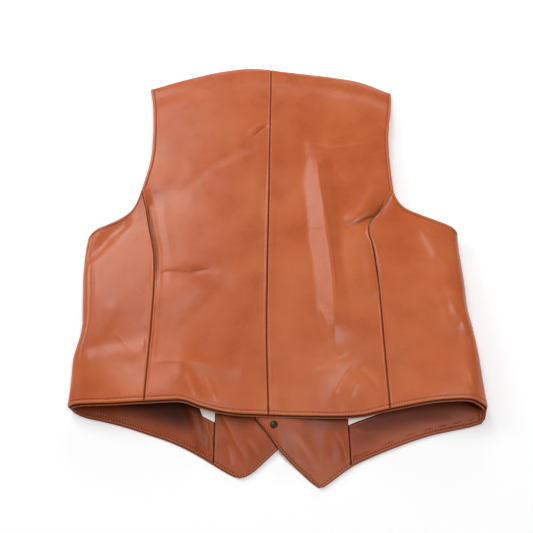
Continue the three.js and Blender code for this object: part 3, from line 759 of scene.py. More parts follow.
class SmoothSurface:
    """A smooth surface through a grid of points, with folds allowed at chosen columns and rows."""

    def __init__(self, points: np.ndarray, column_breaks: tuple[int, ...] = (),
                 row_breaks: tuple[int, ...] = ()) -> None:
        """Joins the points.

        Args:
            points: Points by column, row and axis.
            column_breaks: Columns at which the surface may bend sharply, near the hem.
            row_breaks: Rows at which the surface may bend sharply, near the last column.
        """
        self.points = points
        self.lowest = points[..., 2].min()
        self.column_knots = self._knots(points, 0)
        self.row_knots = self._knots(points, 1)
        self.column_stops = [0, *column_breaks, points.shape[0] - 1]
        self.row_stops = [0, *row_breaks, points.shape[1] - 1]

    @staticmethod
    def _knots(points: np.ndarray, axis: int) -> np.ndarray:
        """Mean distances of the columns or rows from the first one."""
        steps = np.linalg.norm(np.diff(points, axis=axis), axis=2).mean(axis=1 - axis)
        return np.concatenate([[0], np.cumsum(steps)])

    @staticmethod
    def _slopes(values: np.ndarray, knots: np.ndarray) -> np.ndarray:
        """Slopes along the first axis, those of a parabola through each three values."""
        widths = np.diff(knots)[:, None, None]
        steps = np.diff(values, axis=0) / widths
        if len(steps) == 1:
            return np.concatenate([steps, steps])
        middle = (widths[1:] * steps[:-1] + widths[:-1] * steps[1:]) / (widths[1:] + widths[:-1])
        first = 2 * steps[:1] - middle[:1]
        last = 2 * steps[-1:] - middle[-1:]
        return np.concatenate([first, middle, last])

    @staticmethod
    def _shares(at: np.ndarray, knots: np.ndarray) -> tuple[np.ndarray, tuple[np.ndarray, ...], np.ndarray]:
        """Cell, cubic weights and cell width for each place along an axis."""
        cell = np.clip(np.searchsorted(knots, at, side="right") - 1, 0, len(knots) - 2)
        width = knots[cell + 1] - knots[cell]
        t = (at - knots[cell]) / width
        weights = (2 * t ** 3 - 3 * t ** 2 + 1, t ** 3 - 2 * t ** 2 + t,
                   3 * t ** 2 - 2 * t ** 3, t ** 3 - t ** 2)
        return cell, weights, width

    def _patch(self, columns: slice, rows: slice, s: np.ndarray, t: np.ndarray) -> np.ndarray:
        """Points of one unbroken patch."""
        points = self.points[columns, rows]
        s_knots = self.column_knots[columns]
        t_knots = self.row_knots[rows]
        s_slopes = self._slopes(points, s_knots)
        i, (a0, a1, a2, a3), s_width = self._shares(s, s_knots)
        j, (b0, b1, b2, b3), t_width = self._shares(t, t_knots)

        def along_rows(values: np.ndarray, column: np.ndarray) -> np.ndarray:
            """Values on one column, between two of its rows."""
            slopes = np.swapaxes(self._slopes(np.swapaxes(values, 0, 1), t_knots), 0, 1)
            return (b0[:, None] * values[column, j] + (b1 * t_width)[:, None] * slopes[column, j]
                    + b2[:, None] * values[column, j + 1] + (b3 * t_width)[:, None] * slopes[column, j + 1])

        return (a0[:, None] * along_rows(points, i) + (a1 * s_width)[:, None] * along_rows(s_slopes, i)
                + a2[:, None] * along_rows(points, i + 1)
                + (a3 * s_width)[:, None] * along_rows(s_slopes, i + 1))

    def _pieced(self, s: np.ndarray, t: np.ndarray, column_stops: list[int],
                row_stops: list[int]) -> np.ndarray:
        """Points of the surface, bent only at some columns and rows."""
        found = np.zeros((s.size, 3))
        for c0, c1 in zip(column_stops, column_stops[1:]):
            for r0, r1 in zip(row_stops, row_stops[1:]):
                inside = np.ones(s.size, bool)
                if c0 > 0:
                    inside &= s >= self.column_knots[c0]
                if c1 < column_stops[-1]:
                    inside &= s < self.column_knots[c1]
                if r0 > 0:
                    inside &= t >= self.row_knots[r0]
                if r1 < row_stops[-1]:
                    inside &= t < self.row_knots[r1]
                if inside.any():
                    found[inside] = self._patch(slice(c0, c1 + 1), slice(r0, r1 + 1), s[inside], t[inside])
        return found

    def at(self, s: np.ndarray, t: np.ndarray) -> np.ndarray:
        """Points of the surface, whose bends fade out away from the edge that has the corner.

        Args:
            s: Distances along the columns' knots.
            t: Distances along the rows' knots.

        Returns:
            A point for each pair, with the axis last.
        """
        shape = s.shape
        s = s.ravel()
        t = t.ravel()
        whole_columns = [0, self.points.shape[0] - 1]
        whole_rows = [0, self.points.shape[1] - 1]
        smooth = self._pieced(s, t, whole_columns, whole_rows)
        found = smooth.copy()
        if len(self.column_stops) > 2:
            near_hem = 1 - ease(t, 0, HEM_BEND_REACH)
            found += near_hem[:, None] * (self._pieced(s, t, self.column_stops, whole_rows) - smooth)
        if len(self.row_stops) > 2:
            far, close = (self.column_knots[-1] - reach for reach in EDGE_BEND_REACH)
            near_last = ease(s, far, close)
            found += near_last[:, None] * (self._pieced(s, t, whole_columns, self.row_stops) - smooth)
        found[:, 2] = np.maximum(found[:, 2], self.lowest)
        return found.reshape(*shape, 3)


def true_spacing(lengths: np.ndarray, start: np.ndarray, middle: int, end: np.ndarray) -> np.ndarray:
    """Distances of a line's points, fine near both ends.

    Args:
        lengths: Length of each line.
        start: Distances of the first points from the line's start.
        middle: Count of cells between the fine stretches.
        end: Distances of the last points from the line's end.

    Returns:
        Distances by line and point.
    """
    reach = np.minimum(1, FINE_SHARE * lengths / (start[-1] + end[-1]))[:, None]
    first = reach * start[None, :]
    last = lengths[:, None] - reach * end[None, ::-1]
    shares = np.linspace(0, 1, middle + 1)[None, 1:-1]
    between = first[:, -1:] * (1 - shares) + last[:, :1] * shares
    return np.concatenate([first, between, last], axis=1)


@dataclass
class Sheet:
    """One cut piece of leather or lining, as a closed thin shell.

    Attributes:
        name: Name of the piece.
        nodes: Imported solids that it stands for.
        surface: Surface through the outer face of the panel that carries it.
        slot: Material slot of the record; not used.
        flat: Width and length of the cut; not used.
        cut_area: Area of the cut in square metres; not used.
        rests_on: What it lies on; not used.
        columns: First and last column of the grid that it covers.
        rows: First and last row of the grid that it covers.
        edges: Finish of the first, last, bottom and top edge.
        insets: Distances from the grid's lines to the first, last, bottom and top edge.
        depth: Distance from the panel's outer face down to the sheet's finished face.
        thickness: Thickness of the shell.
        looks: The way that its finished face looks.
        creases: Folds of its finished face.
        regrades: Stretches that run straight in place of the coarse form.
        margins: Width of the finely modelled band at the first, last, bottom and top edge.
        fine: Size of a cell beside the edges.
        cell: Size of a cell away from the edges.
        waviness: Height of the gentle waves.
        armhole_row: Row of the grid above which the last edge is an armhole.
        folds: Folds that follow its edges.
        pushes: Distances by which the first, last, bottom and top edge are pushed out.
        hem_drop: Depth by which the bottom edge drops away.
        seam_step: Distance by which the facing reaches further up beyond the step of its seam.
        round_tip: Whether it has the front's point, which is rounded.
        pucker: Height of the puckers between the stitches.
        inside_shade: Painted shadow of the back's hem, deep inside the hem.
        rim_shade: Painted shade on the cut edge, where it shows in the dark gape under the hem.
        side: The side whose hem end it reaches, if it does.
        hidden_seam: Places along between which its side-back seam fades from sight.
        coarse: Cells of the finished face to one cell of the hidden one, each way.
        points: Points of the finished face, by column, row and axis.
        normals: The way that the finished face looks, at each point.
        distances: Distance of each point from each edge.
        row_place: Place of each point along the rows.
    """

    name: str
    nodes: tuple[str, ...]
    surface: SmoothSurface
    slot: str
    flat: tuple[float, float]
    cut_area: float
    rests_on: tuple[str, ...]
    columns: tuple[int, int] | None = None
    rows: tuple[int, int] | None = None
    edges: tuple[Edge, Edge, Edge, Edge] = (Edge.PLAIN,) * 4
    insets: tuple[float, float, float, float] = (0, 0, 0, 0)
    depth: float = 0
    thickness: float = LEATHER
    looks: Looks = Looks.OUT
    creases: tuple[Crease, ...] = ()
    regrades: tuple[Regrade, ...] = ()
    margins: tuple[float, float, float, float] = (8, 8, 8, 8)
    fine: float = 0.55
    cell: float = 1.3
    waviness: float = 0.35
    armhole_row: int | None = None
    folds: tuple[EdgeFold, ...] = ()
    pushes: tuple[float, float, float, float] = (0, 0, 0, 0)
    hem_drop: float = 0.0
    seam_step: float = 0.0
    round_tip: bool = False
    pucker: float = 0.12
    inside_shade: float = 0.0
    rim_shade: float = 0.0
    side: Side | None = None
    hidden_seam: tuple[float, float] | None = None
    coarse: int = 3
    points: np.ndarray = field(init=False, repr=False)
    normals: np.ndarray = field(init=False, repr=False)
    distances: dict[str, np.ndarray] = field(init=False, repr=False)
    row_place: np.ndarray = field(init=False, repr=False)

    def _knot_range(self) -> tuple[float, float, float, float]:
        """First and last place of the piece along both sets of knots."""
        columns = self.columns or (0, len(self.surface.column_knots) - 1)
        rows = self.rows or (0, len(self.surface.row_knots) - 1)
        column_knots = self.surface.column_knots
        row_knots = self.surface.row_knots
        return column_knots[columns[0]], column_knots[columns[1]], row_knots[rows[0]], row_knots[rows[1]]

    def _band(self, edge: int) -> np.ndarray:
        """Distances of the fine lines from one edge."""
        count = max(1, round(self.margins[edge] / self.fine))
        return self.insets[edge] + np.linspace(0, self.margins[edge], count + 1)

    def _lines(self, along_columns: bool, fixed: np.ndarray, low: float, high: float,
               start: np.ndarray, end: np.ndarray, middle: int) -> tuple[np.ndarray, np.ndarray, np.ndarray]:
        """Places of the points of a set of lines, spaced by their true distances.

        Args:
            along_columns: Whether the lines run across the columns.
            fixed: Place of each line on the other knots.
            low: Start of the lines on their own knots.
            high: End of the lines on their own knots.
            start: Distances of the first points from the start.
            end: Distances of the last points from the end.
            middle: Count of cells between.

        Returns:
            Places, distances from the start and distances from the end, by line and point.
        """
        samples = np.linspace(low, high, LINE_SAMPLES)
        line, place = np.meshgrid(fixed, samples, indexing="ij")
        found = self.surface.at(place, line) if along_columns else self.surface.at(line, place)
        steps = np.linalg.norm(np.diff(found, axis=1), axis=2)
        lengths = np.concatenate([np.zeros((len(fixed), 1)), np.cumsum(steps, axis=1)], axis=1)
        targets = true_spacing(lengths[:, -1], start, middle, end)
        places = np.array([np.interp(t, l, samples) for t, l in zip(targets, lengths)])
        return places, targets, lengths[:, -1:] - targets

    def lay_out(self) -> None:
        """Finds the piece's points, before its creases, and their distances from its edges."""
        s0, s1, t0, t1 = self._knot_range()
        first, last, bottom, top = (self._band(k) for k in range(4))
        across = max(2, round((s1 - s0 - first[-1] - last[-1]) / self.cell))
        along = max(2, round((t1 - t0 - bottom[-1] - top[-1]) / self.cell))
        t_guess = np.linspace(t0, t1, GUIDE_LINES)
        s_guess = np.linspace(s0, s1, GUIDE_LINES)
        s_places, _, _ = self._lines(True, t_guess, s0, s1, first, last, across)
        t_places, _, _ = self._lines(False, s_guess, t0, t1, bottom, top, along)
        rows = t_places.mean(axis=0)
        columns = s_places.mean(axis=0)
        s_exact, from_first, from_last = self._lines(True, rows, s0, s1, first, last, across)
        t_exact, from_bottom, from_top = self._lines(False, columns, t0, t1, bottom, top, along)
        s = s_exact.T
        t = t_exact
        self.distances = {"first": from_first.T, "last": from_last.T, "bottom": from_bottom, "top": from_top}
        if self.seam_step:
            beyond = ease(-self.surface.at(s, t)[..., 0], SEAM_STEP_X[0], SEAM_STEP_X[1])
            share = np.clip((t - t0) / (t1 - t0), 0, 1)
            near = share ** 2 if self.seam_step > 0 else np.clip(1 - 4 * share, 0, 1) ** 2
            t = t + abs(self.seam_step) * beyond * near
        self.points = self.surface.at(s, t)
        for regrade in self.regrades:
            self._straighten(regrade)
        if self.round_tip:
            self.points = self._rounded_tip(self.points)
        if self.side is not None:
            self.points = self._bulged_end(self.points)
        self.row_place = t
        self.normals = self._outward(self.points)
        if self.depth:
            self.points = self.points - self.normals * self.depth
        self._push_edges()
        if self.looks is Looks.IN:
            self.normals = -self.normals

    def _straighten(self, regrade: Regrade) -> None:
        """Lets a stretch of the panel run straight from line to line."""
        low, high, fade = regrade.low, regrade.high, regrade.fade
        curves = [rounded_path(path) for path in regrade.lines]
        for row in range(self.points.shape[1]):
            line = self.points[:, row]
            if line[0, 0] > line[-1, 0]:
                line = line[::-1]
            x, y, z = line.T
            places, heights = [], []
            for number, known in enumerate(curves):
                beyond = x - np.interp(y, known[:, 1], known[:, 0])
                places.append(float(np.interp(0, beyond, x)))
                if 0 < number <= len(regrade.leans):
                    climb = math.tan(math.radians(regrade.leans[number - 1]))
                    heights.append(heights[-1] + climb * (places[-1] - places[-2]))
                else:
                    heights.append(float(np.interp(0, beyond, z)))
            weight = ease(y, low, low + fade) * ease(-y, -high, fade - high)
            inside = (x > places[0]) & (x < places[-1])
            change = np.where(inside, np.interp(x, places, heights) - z, 0)
            soft = change.copy()
            for _ in range(SOFTENING_PASSES):
                soft[1:-1] = (soft[:-2] + 2 * soft[1:-1] + soft[2:]) / 4
            if regrade.ridge is not None:
                near = np.exp(-((x - places[regrade.ridge]) / SHARP_REACH) ** 4)
                soft = soft + near * (change - soft)
            line[:, 2] += weight * soft

    def _rounded_tip(self, points: np.ndarray) -> np.ndarray:
        """Rounds the front's point, in plan."""
        before, tip, after = (self.surface.points[POINT_COLUMN + k, 0, :2] for k in (-1, 0, 1))
        arms = [(arm - tip) / np.linalg.norm(arm - tip) for arm in (before, after)]
        axis = sum(arms) / np.linalg.norm(sum(arms))
        along = (points[..., :2] - tip) @ axis
        rounded = np.sqrt(np.maximum(along, 0) ** 2 + TIP_ROUNDING ** 2) - TIP_SHARE * TIP_ROUNDING
        shift = (rounded - along) * (1 - ease(along, *TIP_REACH))
        moved = points.copy()
        moved[..., :2] += shift[..., None] * axis
        return moved

    def _bulged_end(self, points: np.ndarray) -> np.ndarray:
        """Lets the side end of the hem bulge out, in plan."""
        centre = np.array(HEM_ENDS[self.side.value], float)
        out = np.array([math.copysign(HEM_END_WAY[0], centre[0]), HEM_END_WAY[1]])
        distance = np.linalg.norm(points[..., :2] - centre, axis=2)
        moved = points.copy()
        moved[..., :2] += (HEM_END_BULGE * np.exp(-(distance / HEM_END_REACH) ** 2))[..., None] * out
        return moved

    def _push_edges(self) -> None:
        """Pushes the edges out of the sheet, and lets the bottom edge drop."""
        views = {"first": (0, 1), "last": (-1, -2), "bottom": (0, 1), "top": (-1, -2)}
        for (name, (rim, inner)), push in zip(views.items(), self.pushes):
            drop = self.hem_drop if name == "bottom" else 0.0
            if not push and not drop:
                continue
            axis = 0 if name in SIDE_EDGES else 1
            out = np.take(self.points, rim, axis) - np.take(self.points, inner, axis)
            out /= np.maximum(np.linalg.norm(out, axis=1, keepdims=True), TINY)
            out = np.expand_dims(out, axis)
            reach = max(PUSH_REACH, PUSH_SPREAD * push, DROP_SPREAD * drop)
            weight = (np.clip(1 - self.distances[name] / reach, 0, 1) ** 2)[..., None]
            self.points = self.points + out * push * weight - self.normals * drop * weight

    def _outward(self, points: np.ndarray) -> np.ndarray:
        """Normals of a grid of points that look out of the vest."""
        across = np.gradient(points, axis=0)
        along = np.gradient(points, axis=1)
        normals = np.cross(across, along)
        normals /= np.maximum(np.linalg.norm(normals, axis=2, keepdims=True), TINY)
        if normals[normals.shape[0] // 2, normals.shape[1] // 2, 2] * self.way < 0:
            normals = -normals
        return normals

    @property
    def way(self) -> int:
        """1 where the panel that carries the piece looks up, and -1 where it looks down."""
        return -1 if self.nodes[0].startswith("front") else 1

    @property
    def hidden_edge(self) -> str:
        """The edge that lies on the right side-back seam."""
        return "last" if self.armhole_row is not None else "first"

    def edge_weights(self) -> dict[str, tuple[np.ndarray, np.ndarray]]:
        """How far each edge is sewn to a neighbour and how far it is turned under, at each point."""
        weights = {}
        for name, edge in zip(EDGE_NAMES, self.edges):
            ones = np.ones(self.points.shape[:2])
            seam = ones if edge is Edge.SEAM else 0 * ones
            turned = ones if edge is Edge.TURNED else 0 * ones
            if name == "last" and self.armhole_row is not None:
                end = self.surface.row_knots[self.armhole_row]
                turned = ease(self.row_place, *(end + place for place in ARMHOLE_TURN))
                seam = 1 - turned
            weights[name] = (seam, turned)
        return weights

    def dress(self) -> dict[str, np.ndarray]:
        """Adds the creases, seams and turned edges to the points.

        Returns:
            Masks of painted shade and painted highlight, by point.
        """
        x, y = self.points[..., 0], self.points[..., 1]
        calm = ease(np.min([self.distances["bottom"], self.distances["top"]], axis=0), 0, WAVE_EDGE)
        height, valleys, ridges = crease_height(x, y, self.creases)
        waves = sum(share * soft_noise(x, y, size, seed) for share, size, seed in WAVES)
        height += self.waviness * waves * (WAVE_LEFT + (1 - WAVE_LEFT) * calm)
        for fold in self.folds:
            along = y if fold.edge in SIDE_EDGES else x
            span = FOLD_FADE * (fold.high - fold.low)
            window = ease(along, fold.low, fold.low + span) * ease(-along, -fold.high, span - fold.high)
            crest = np.exp(-((self.distances[fold.edge] - fold.offset) / fold.reach) ** 2)
            height += fold.rise * window * crest
            # Valleys of the folds get painted shade too
            if fold.rise < 0:
                valleys = np.maximum(valleys, -fold.rise * window * crest)
        shade = np.zeros_like(x)
        # Painted highlight, starting on the narrow ridges
        painted_highlight = RIDGE_HIGHLIGHT * ridges
        for number, (name, (seam, turned)) in enumerate(self.edge_weights().items()):
            d = self.distances[name]
            along = y if name in SIDE_EDGES else x
            uneven = 1 + EDGE_UNEVEN * soft_noise(along, 0 * along, EDGE_UNEVEN_SIZE, EDGE_SEED + number)
            if self.hidden_seam and name == self.hidden_edge:
                seam = seam * (1 - SEWN.hidden * ease(y, *self.hidden_seam))
            roll, allowance = SEWN.height(d, uneven)
            height += seam * (roll + allowance)
            lip = TURNED.lip * uneven * ease(d, 0, TURNED.lip_rise) * (1 - ease(d, *TURNED.lip_fall))
            groove = np.exp(-((d - TOPSTITCH_INSET) / TURNED.groove_reach) ** 2)
            rounding = TURNED.rounding * (1 - ease(d, 0, TURNED.rounding_reach))
            pucker = np.sin(along * 2 * math.pi / STITCH_PITCH)
            pucker = pucker * np.exp(-((d - PUCKER_INSET) / PUCKER_REACH) ** 2)
            height += turned * (lip - TURNED.groove * groove - rounding + self.pucker * pucker)
            # Painted shade in the seam's crevice and in the stitch groove of a turned edge
            shade += seam * np.exp(-(d / SEWN.shade_reach) ** 2) + turned * TURNED.groove_shade * groove
            # Painted highlight on the lip of a turned edge
            painted_highlight += turned * np.exp(-((d - TURNED.highlight_place) / TURNED.highlight_reach) ** 2)
            # Painted highlight on the rims beside a seam
            painted_highlight += SEWN.painted_highlight * seam * np.exp(-((d - SEWN.highlight_place) / SEWN.highlight_reach) ** 2)
        shade, painted_highlight = self._hem_shade(shade, painted_highlight)
        self.points = self.points + self.normals * height[..., None]
        masks = {"shade": shade, "painted_highlight": painted_highlight, "valley": valleys / DEEPEST_VALLEY}
        return {name: np.clip(values, 0, 1) for name, values in masks.items()}

    def _hem_shade(self, shade: np.ndarray, painted_highlight: np.ndarray) -> tuple[np.ndarray, np.ndarray]:
        """Paints shade deep in the hem, under the back's hem and on cut edges, and a painted highlight on the
        rim of the dropped hem.

        Args:
            shade: Darkening so far, by point.
            painted_highlight: Painted highlight so far, by point.

        Returns:
            Both masks with what the hem adds.
        """
        bottom = self.distances["bottom"]
        # Painted shadow under the back's hem, and a painted highlight on the dropped facing's rim
        if self.hem_drop:
            shade = shade + DROPPED_SHADE * ease(bottom, *DROPPED_SHADE_REACH)
            painted_highlight = painted_highlight + (1 - ease(bottom, *DROPPED_HIGHLIGHT_REACH))
        # Painted shadow of the back's hem on the facing, deepest far inside the hem
        if self.inside_shade:
            deep = ease(bottom, *INSIDE_DEPTH) * ease(np.abs(self.points[..., 0]), *INSIDE_X)
            shade = shade + self.inside_shade * deep
        # Painted shade along the front's cut edge
        if self.rim_shade:
            nearest = np.min([self.distances[name] for name in ("first", "last", "bottom")], axis=0)
            shade = shade + self.rim_shade * (1 - ease(nearest, *RIM_SHADE_REACH))
        return shade, painted_highlight

    def build(self, material: bpy.types.Material) -> bpy.types.Object:
        """Args:
            material: Finish of the piece.

        Returns:
            The finished object.
        """
        self.lay_out()
        masks = self.dress()
        piece = shell_object(self.name, self.points, self.normals, self.thickness, masks, self.coarse)
        piece.data.materials.append(material)
        round_edges(piece, width=0.26, bevelled=62, smoothed=50)
        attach(piece, "root")
        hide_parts(*self.nodes)
        LOG.info("%s: %d faces, lowest point %.2f mm", self.name, len(piece.data.polygons),
                 self.points[..., 2].min())
        return piece

    def line_at(self, edge: str, distance: float) -> tuple[np.ndarray, np.ndarray]:
        """Points and normals along a line at one distance from an edge.

        Args:
            edge: Name of the edge.
            distance: Distance from it.

        Returns:
            Points and normals, one for each row.
        """
        axis = 0 if edge in SIDE_EDGES else 1
        d = self.distances[edge] if axis == 1 else self.distances[edge].T
        grid = self.points if axis == 1 else np.swapaxes(self.points, 0, 1)
        normals = self.normals if axis == 1 else np.swapaxes(self.normals, 0, 1)
        picked = np.abs(d - distance).argmin(axis=1)
        lines = np.arange(len(d))
        return grid[lines, picked], normals[lines, picked]


def deselect_all() -> None:
    """Leaves nothing selected or active."""
    bpy.ops.object.select_all(action="DESELECT")
    bpy.context.view_layer.objects.active = None


def take(piece: bpy.types.Object) -> None:
    """Makes one object the only one selected, and the active one."""
    deselect_all()
    piece.select_set(True)
    bpy.context.view_layer.objects.active = piece


def wall_faces(columns: list[int], rows: list[int], index: np.ndarray) -> list[list[int]]:
    """Faces of a wall on some columns and rows of a grid, with every point of the grid's rim.

    Args:
        columns: Columns that the wall uses, with the first and the last one.
        rows: Rows that it uses, with the first and the last one.
        index: Number of each point of the whole grid.

    Returns:
        Faces as lists of point numbers.
    """
    last_column = index.shape[0] - 1
    last_row = index.shape[1] - 1
    faces = []
    for c0, c1 in zip(columns, columns[1:]):
        for r0, r1 in zip(rows, rows[1:]):
            below = range(c0, c1) if r0 == 0 else (c0,)
            right = range(r0, r1) if c1 == last_column else (r0,)
            above = range(c1, c0, -1) if r1 == last_row else (c1,)
            left = range(r1, r0, -1) if c0 == 0 else (r1,)
            faces.append([*(int(index[c, r0]) for c in below), *(int(index[c1, r]) for r in right),
                          *(int(index[c, r1]) for c in above), *(int(index[c0, r]) for r in left)])
    return faces


def shell_object(name: str, points: np.ndarray, normals: np.ndarray, thickness: float,
                 masks: dict[str, np.ndarray], coarse: int) -> bpy.types.Object:
    """Makes a closed shell with a fine finished face and a coarser hidden one.

    Args:
        name: Name of the object.
        points: Points of the finished face by column, row and axis, in millimetres.
        normals: The way that the finished face looks.
        thickness: Thickness of the shell, in millimetres.
        masks: Values by point, kept as attributes.
        coarse: Cells of the finished face to one cell of the hidden one, each way.

    Returns:
        The new object.
    """
    columns, rows = points.shape[:2]
    index = np.arange(columns * rows).reshape(columns, rows)
    middle = (columns // 2, rows // 2)
    across = points[middle[0] + 1, middle[1]] - points[middle]
    along = points[middle[0], middle[1] + 1] - points[middle]
    facing_out = np.dot(np.cross(across, along), normals[middle]) > 0
    outer = np.stack([index[:-1, :-1], index[1:, :-1], index[1:, 1:], index[:-1, 1:]], axis=-1).reshape(-1, 4)
    picked_columns = [*range(0, columns - 1, coarse), columns - 1]
    picked_rows = [*range(0, rows - 1, coarse), rows - 1]
    used = np.zeros((columns, rows), bool)
    used[np.ix_(picked_columns, picked_rows)] = True
    used[[0, -1], :] = True
    used[:, [0, -1]] = True
    inner_index = np.full((columns, rows), -1)
    inner_index[used] = columns * rows + np.arange(used.sum())
    inner = [face[::-1] for face in wall_faces(picked_columns, picked_rows, inner_index)]
    rim = np.concatenate([index[:-1, 0], index[-1, :-1], index[:0:-1, -1], index[0, :0:-1]])
    inner_rim = np.concatenate([inner_index[:-1, 0], inner_index[-1, :-1], inner_index[:0:-1, -1],
                                inner_index[0, :0:-1]])
    sides = np.stack([rim, inner_rim, np.roll(inner_rim, -1), np.roll(rim, -1)], axis=-1)
    faces = outer.tolist() + inner + sides.tolist()
    if not facing_out:
        faces = [face[::-1] for face in faces]
    inside = (points - normals * thickness)[used]
    everything = np.concatenate([points.reshape(-1, 3), inside]) * MM
    mesh = bpy.data.meshes.new(name)
    mesh.from_pydata(everything.tolist(), [], faces)
    for key, values in masks.items():
        layer = mesh.attributes.new(key, "FLOAT", "POINT")
        both = np.concatenate([values.ravel(), values[used]])
        layer.data.foreach_set("value", both.astype(np.float32))
    mesh.update()
    piece = bpy.data.objects.new(name, mesh)
    bpy.context.scene.collection.objects.link(piece)
    return piece


def round_edges(piece: bpy.types.Object, width: float, bevelled: float, smoothed: float) -> None:
    """Rounds the sharp edges of a piece and smooths its faces.

    Args:
        piece: The closed piece.
        width: Width of the rounding, in millimetres.
        bevelled: Bend in degrees past which an edge is rounded.
        smoothed: Bend in degrees up to which the faces are smoothed.
    """
    take(piece)
    rounding = piece.modifiers.new("rounding", "BEVEL")
    rounding.width = width * MM
    rounding.segments = 2
    rounding.limit_method = "ANGLE"
    rounding.angle_limit = math.radians(bevelled)
    bpy.ops.object.modifier_apply(modifier="rounding")
    bpy.ops.object.shade_smooth_by_angle(angle=math.radians(smoothed))
    deselect_all()


class Group(Enum):
    """Names of the shared shader node groups."""

    HIDE = "hide_grain"


def fill(tree: bpy.types.NodeTree, socket: bpy.types.NodeSocket, value: object) -> None:
    """Sets a socket to a value, or links it where the value is a socket."""
    if isinstance(value, bpy.types.NodeSocket):
        tree.links.new(value, socket)
    else:
        socket.default_value = value


def add_node(tree: bpy.types.NodeTree, kind: str, **inputs: object) -> bpy.types.Node:
    """Adds a shader node and sets its inputs.

    Args:
        tree: Node tree that it goes into.
        kind: Type of the node.
        inputs: Values or sockets by input name, with underscores for spaces.

    Returns:
        The new node.
    """
    node = tree.nodes.new(kind)
    for key, value in inputs.items():
        fill(tree, node.inputs[key.replace("_", " ")], value)
    return node


def math_node(tree: bpy.types.NodeTree, operation: str, *values: object,
              clamp: bool = False) -> bpy.types.NodeSocket:
    """Adds a Math node.

    Args:
        tree: Node tree that it goes into.
        operation: What it does.
        values: Values or sockets in order.
        clamp: Whether the result stays between 0 and 1.

    Returns:
        Its output.
    """
    node = tree.nodes.new("ShaderNodeMath")
    node.operation = operation
    node.use_clamp = clamp
    for socket, value in zip(node.inputs, values):
        fill(tree, socket, value)
    return node.outputs[0]


def mix_colour(tree: bpy.types.NodeTree, factor: object, first: object,
               second: object) -> bpy.types.NodeSocket:
    """Adds a colour Mix node.

    Args:
        tree: Node tree that it goes into.
        factor: Share of the second colour.
        first: Colour or socket at 0.
        second: Colour or socket at 1.

    Returns:
        Its output.
    """
    node = tree.nodes.new("ShaderNodeMix")
    node.data_type = "RGBA"
    for name, value in (("Factor", factor), ("A", first), ("B", second)):
        kind = "VALUE" if name == "Factor" else "RGBA"
        fill(tree, next(s for s in node.inputs if s.name == name and s.type == kind), value)
    return next(s for s in node.outputs if s.type == "RGBA")


def srgb(red: int, green: int, blue: int) -> tuple[float, float, float, float]:
    """Linear colour of an 8-bit display colour."""
    def linear(value: int) -> float:
        """Linear value of one channel."""
        share = value / 255
        return share / 12.92 if share <= 0.04045 else ((share + 0.055) / 1.055) ** 2.4
    return linear(red), linear(green), linear(blue), 1.0


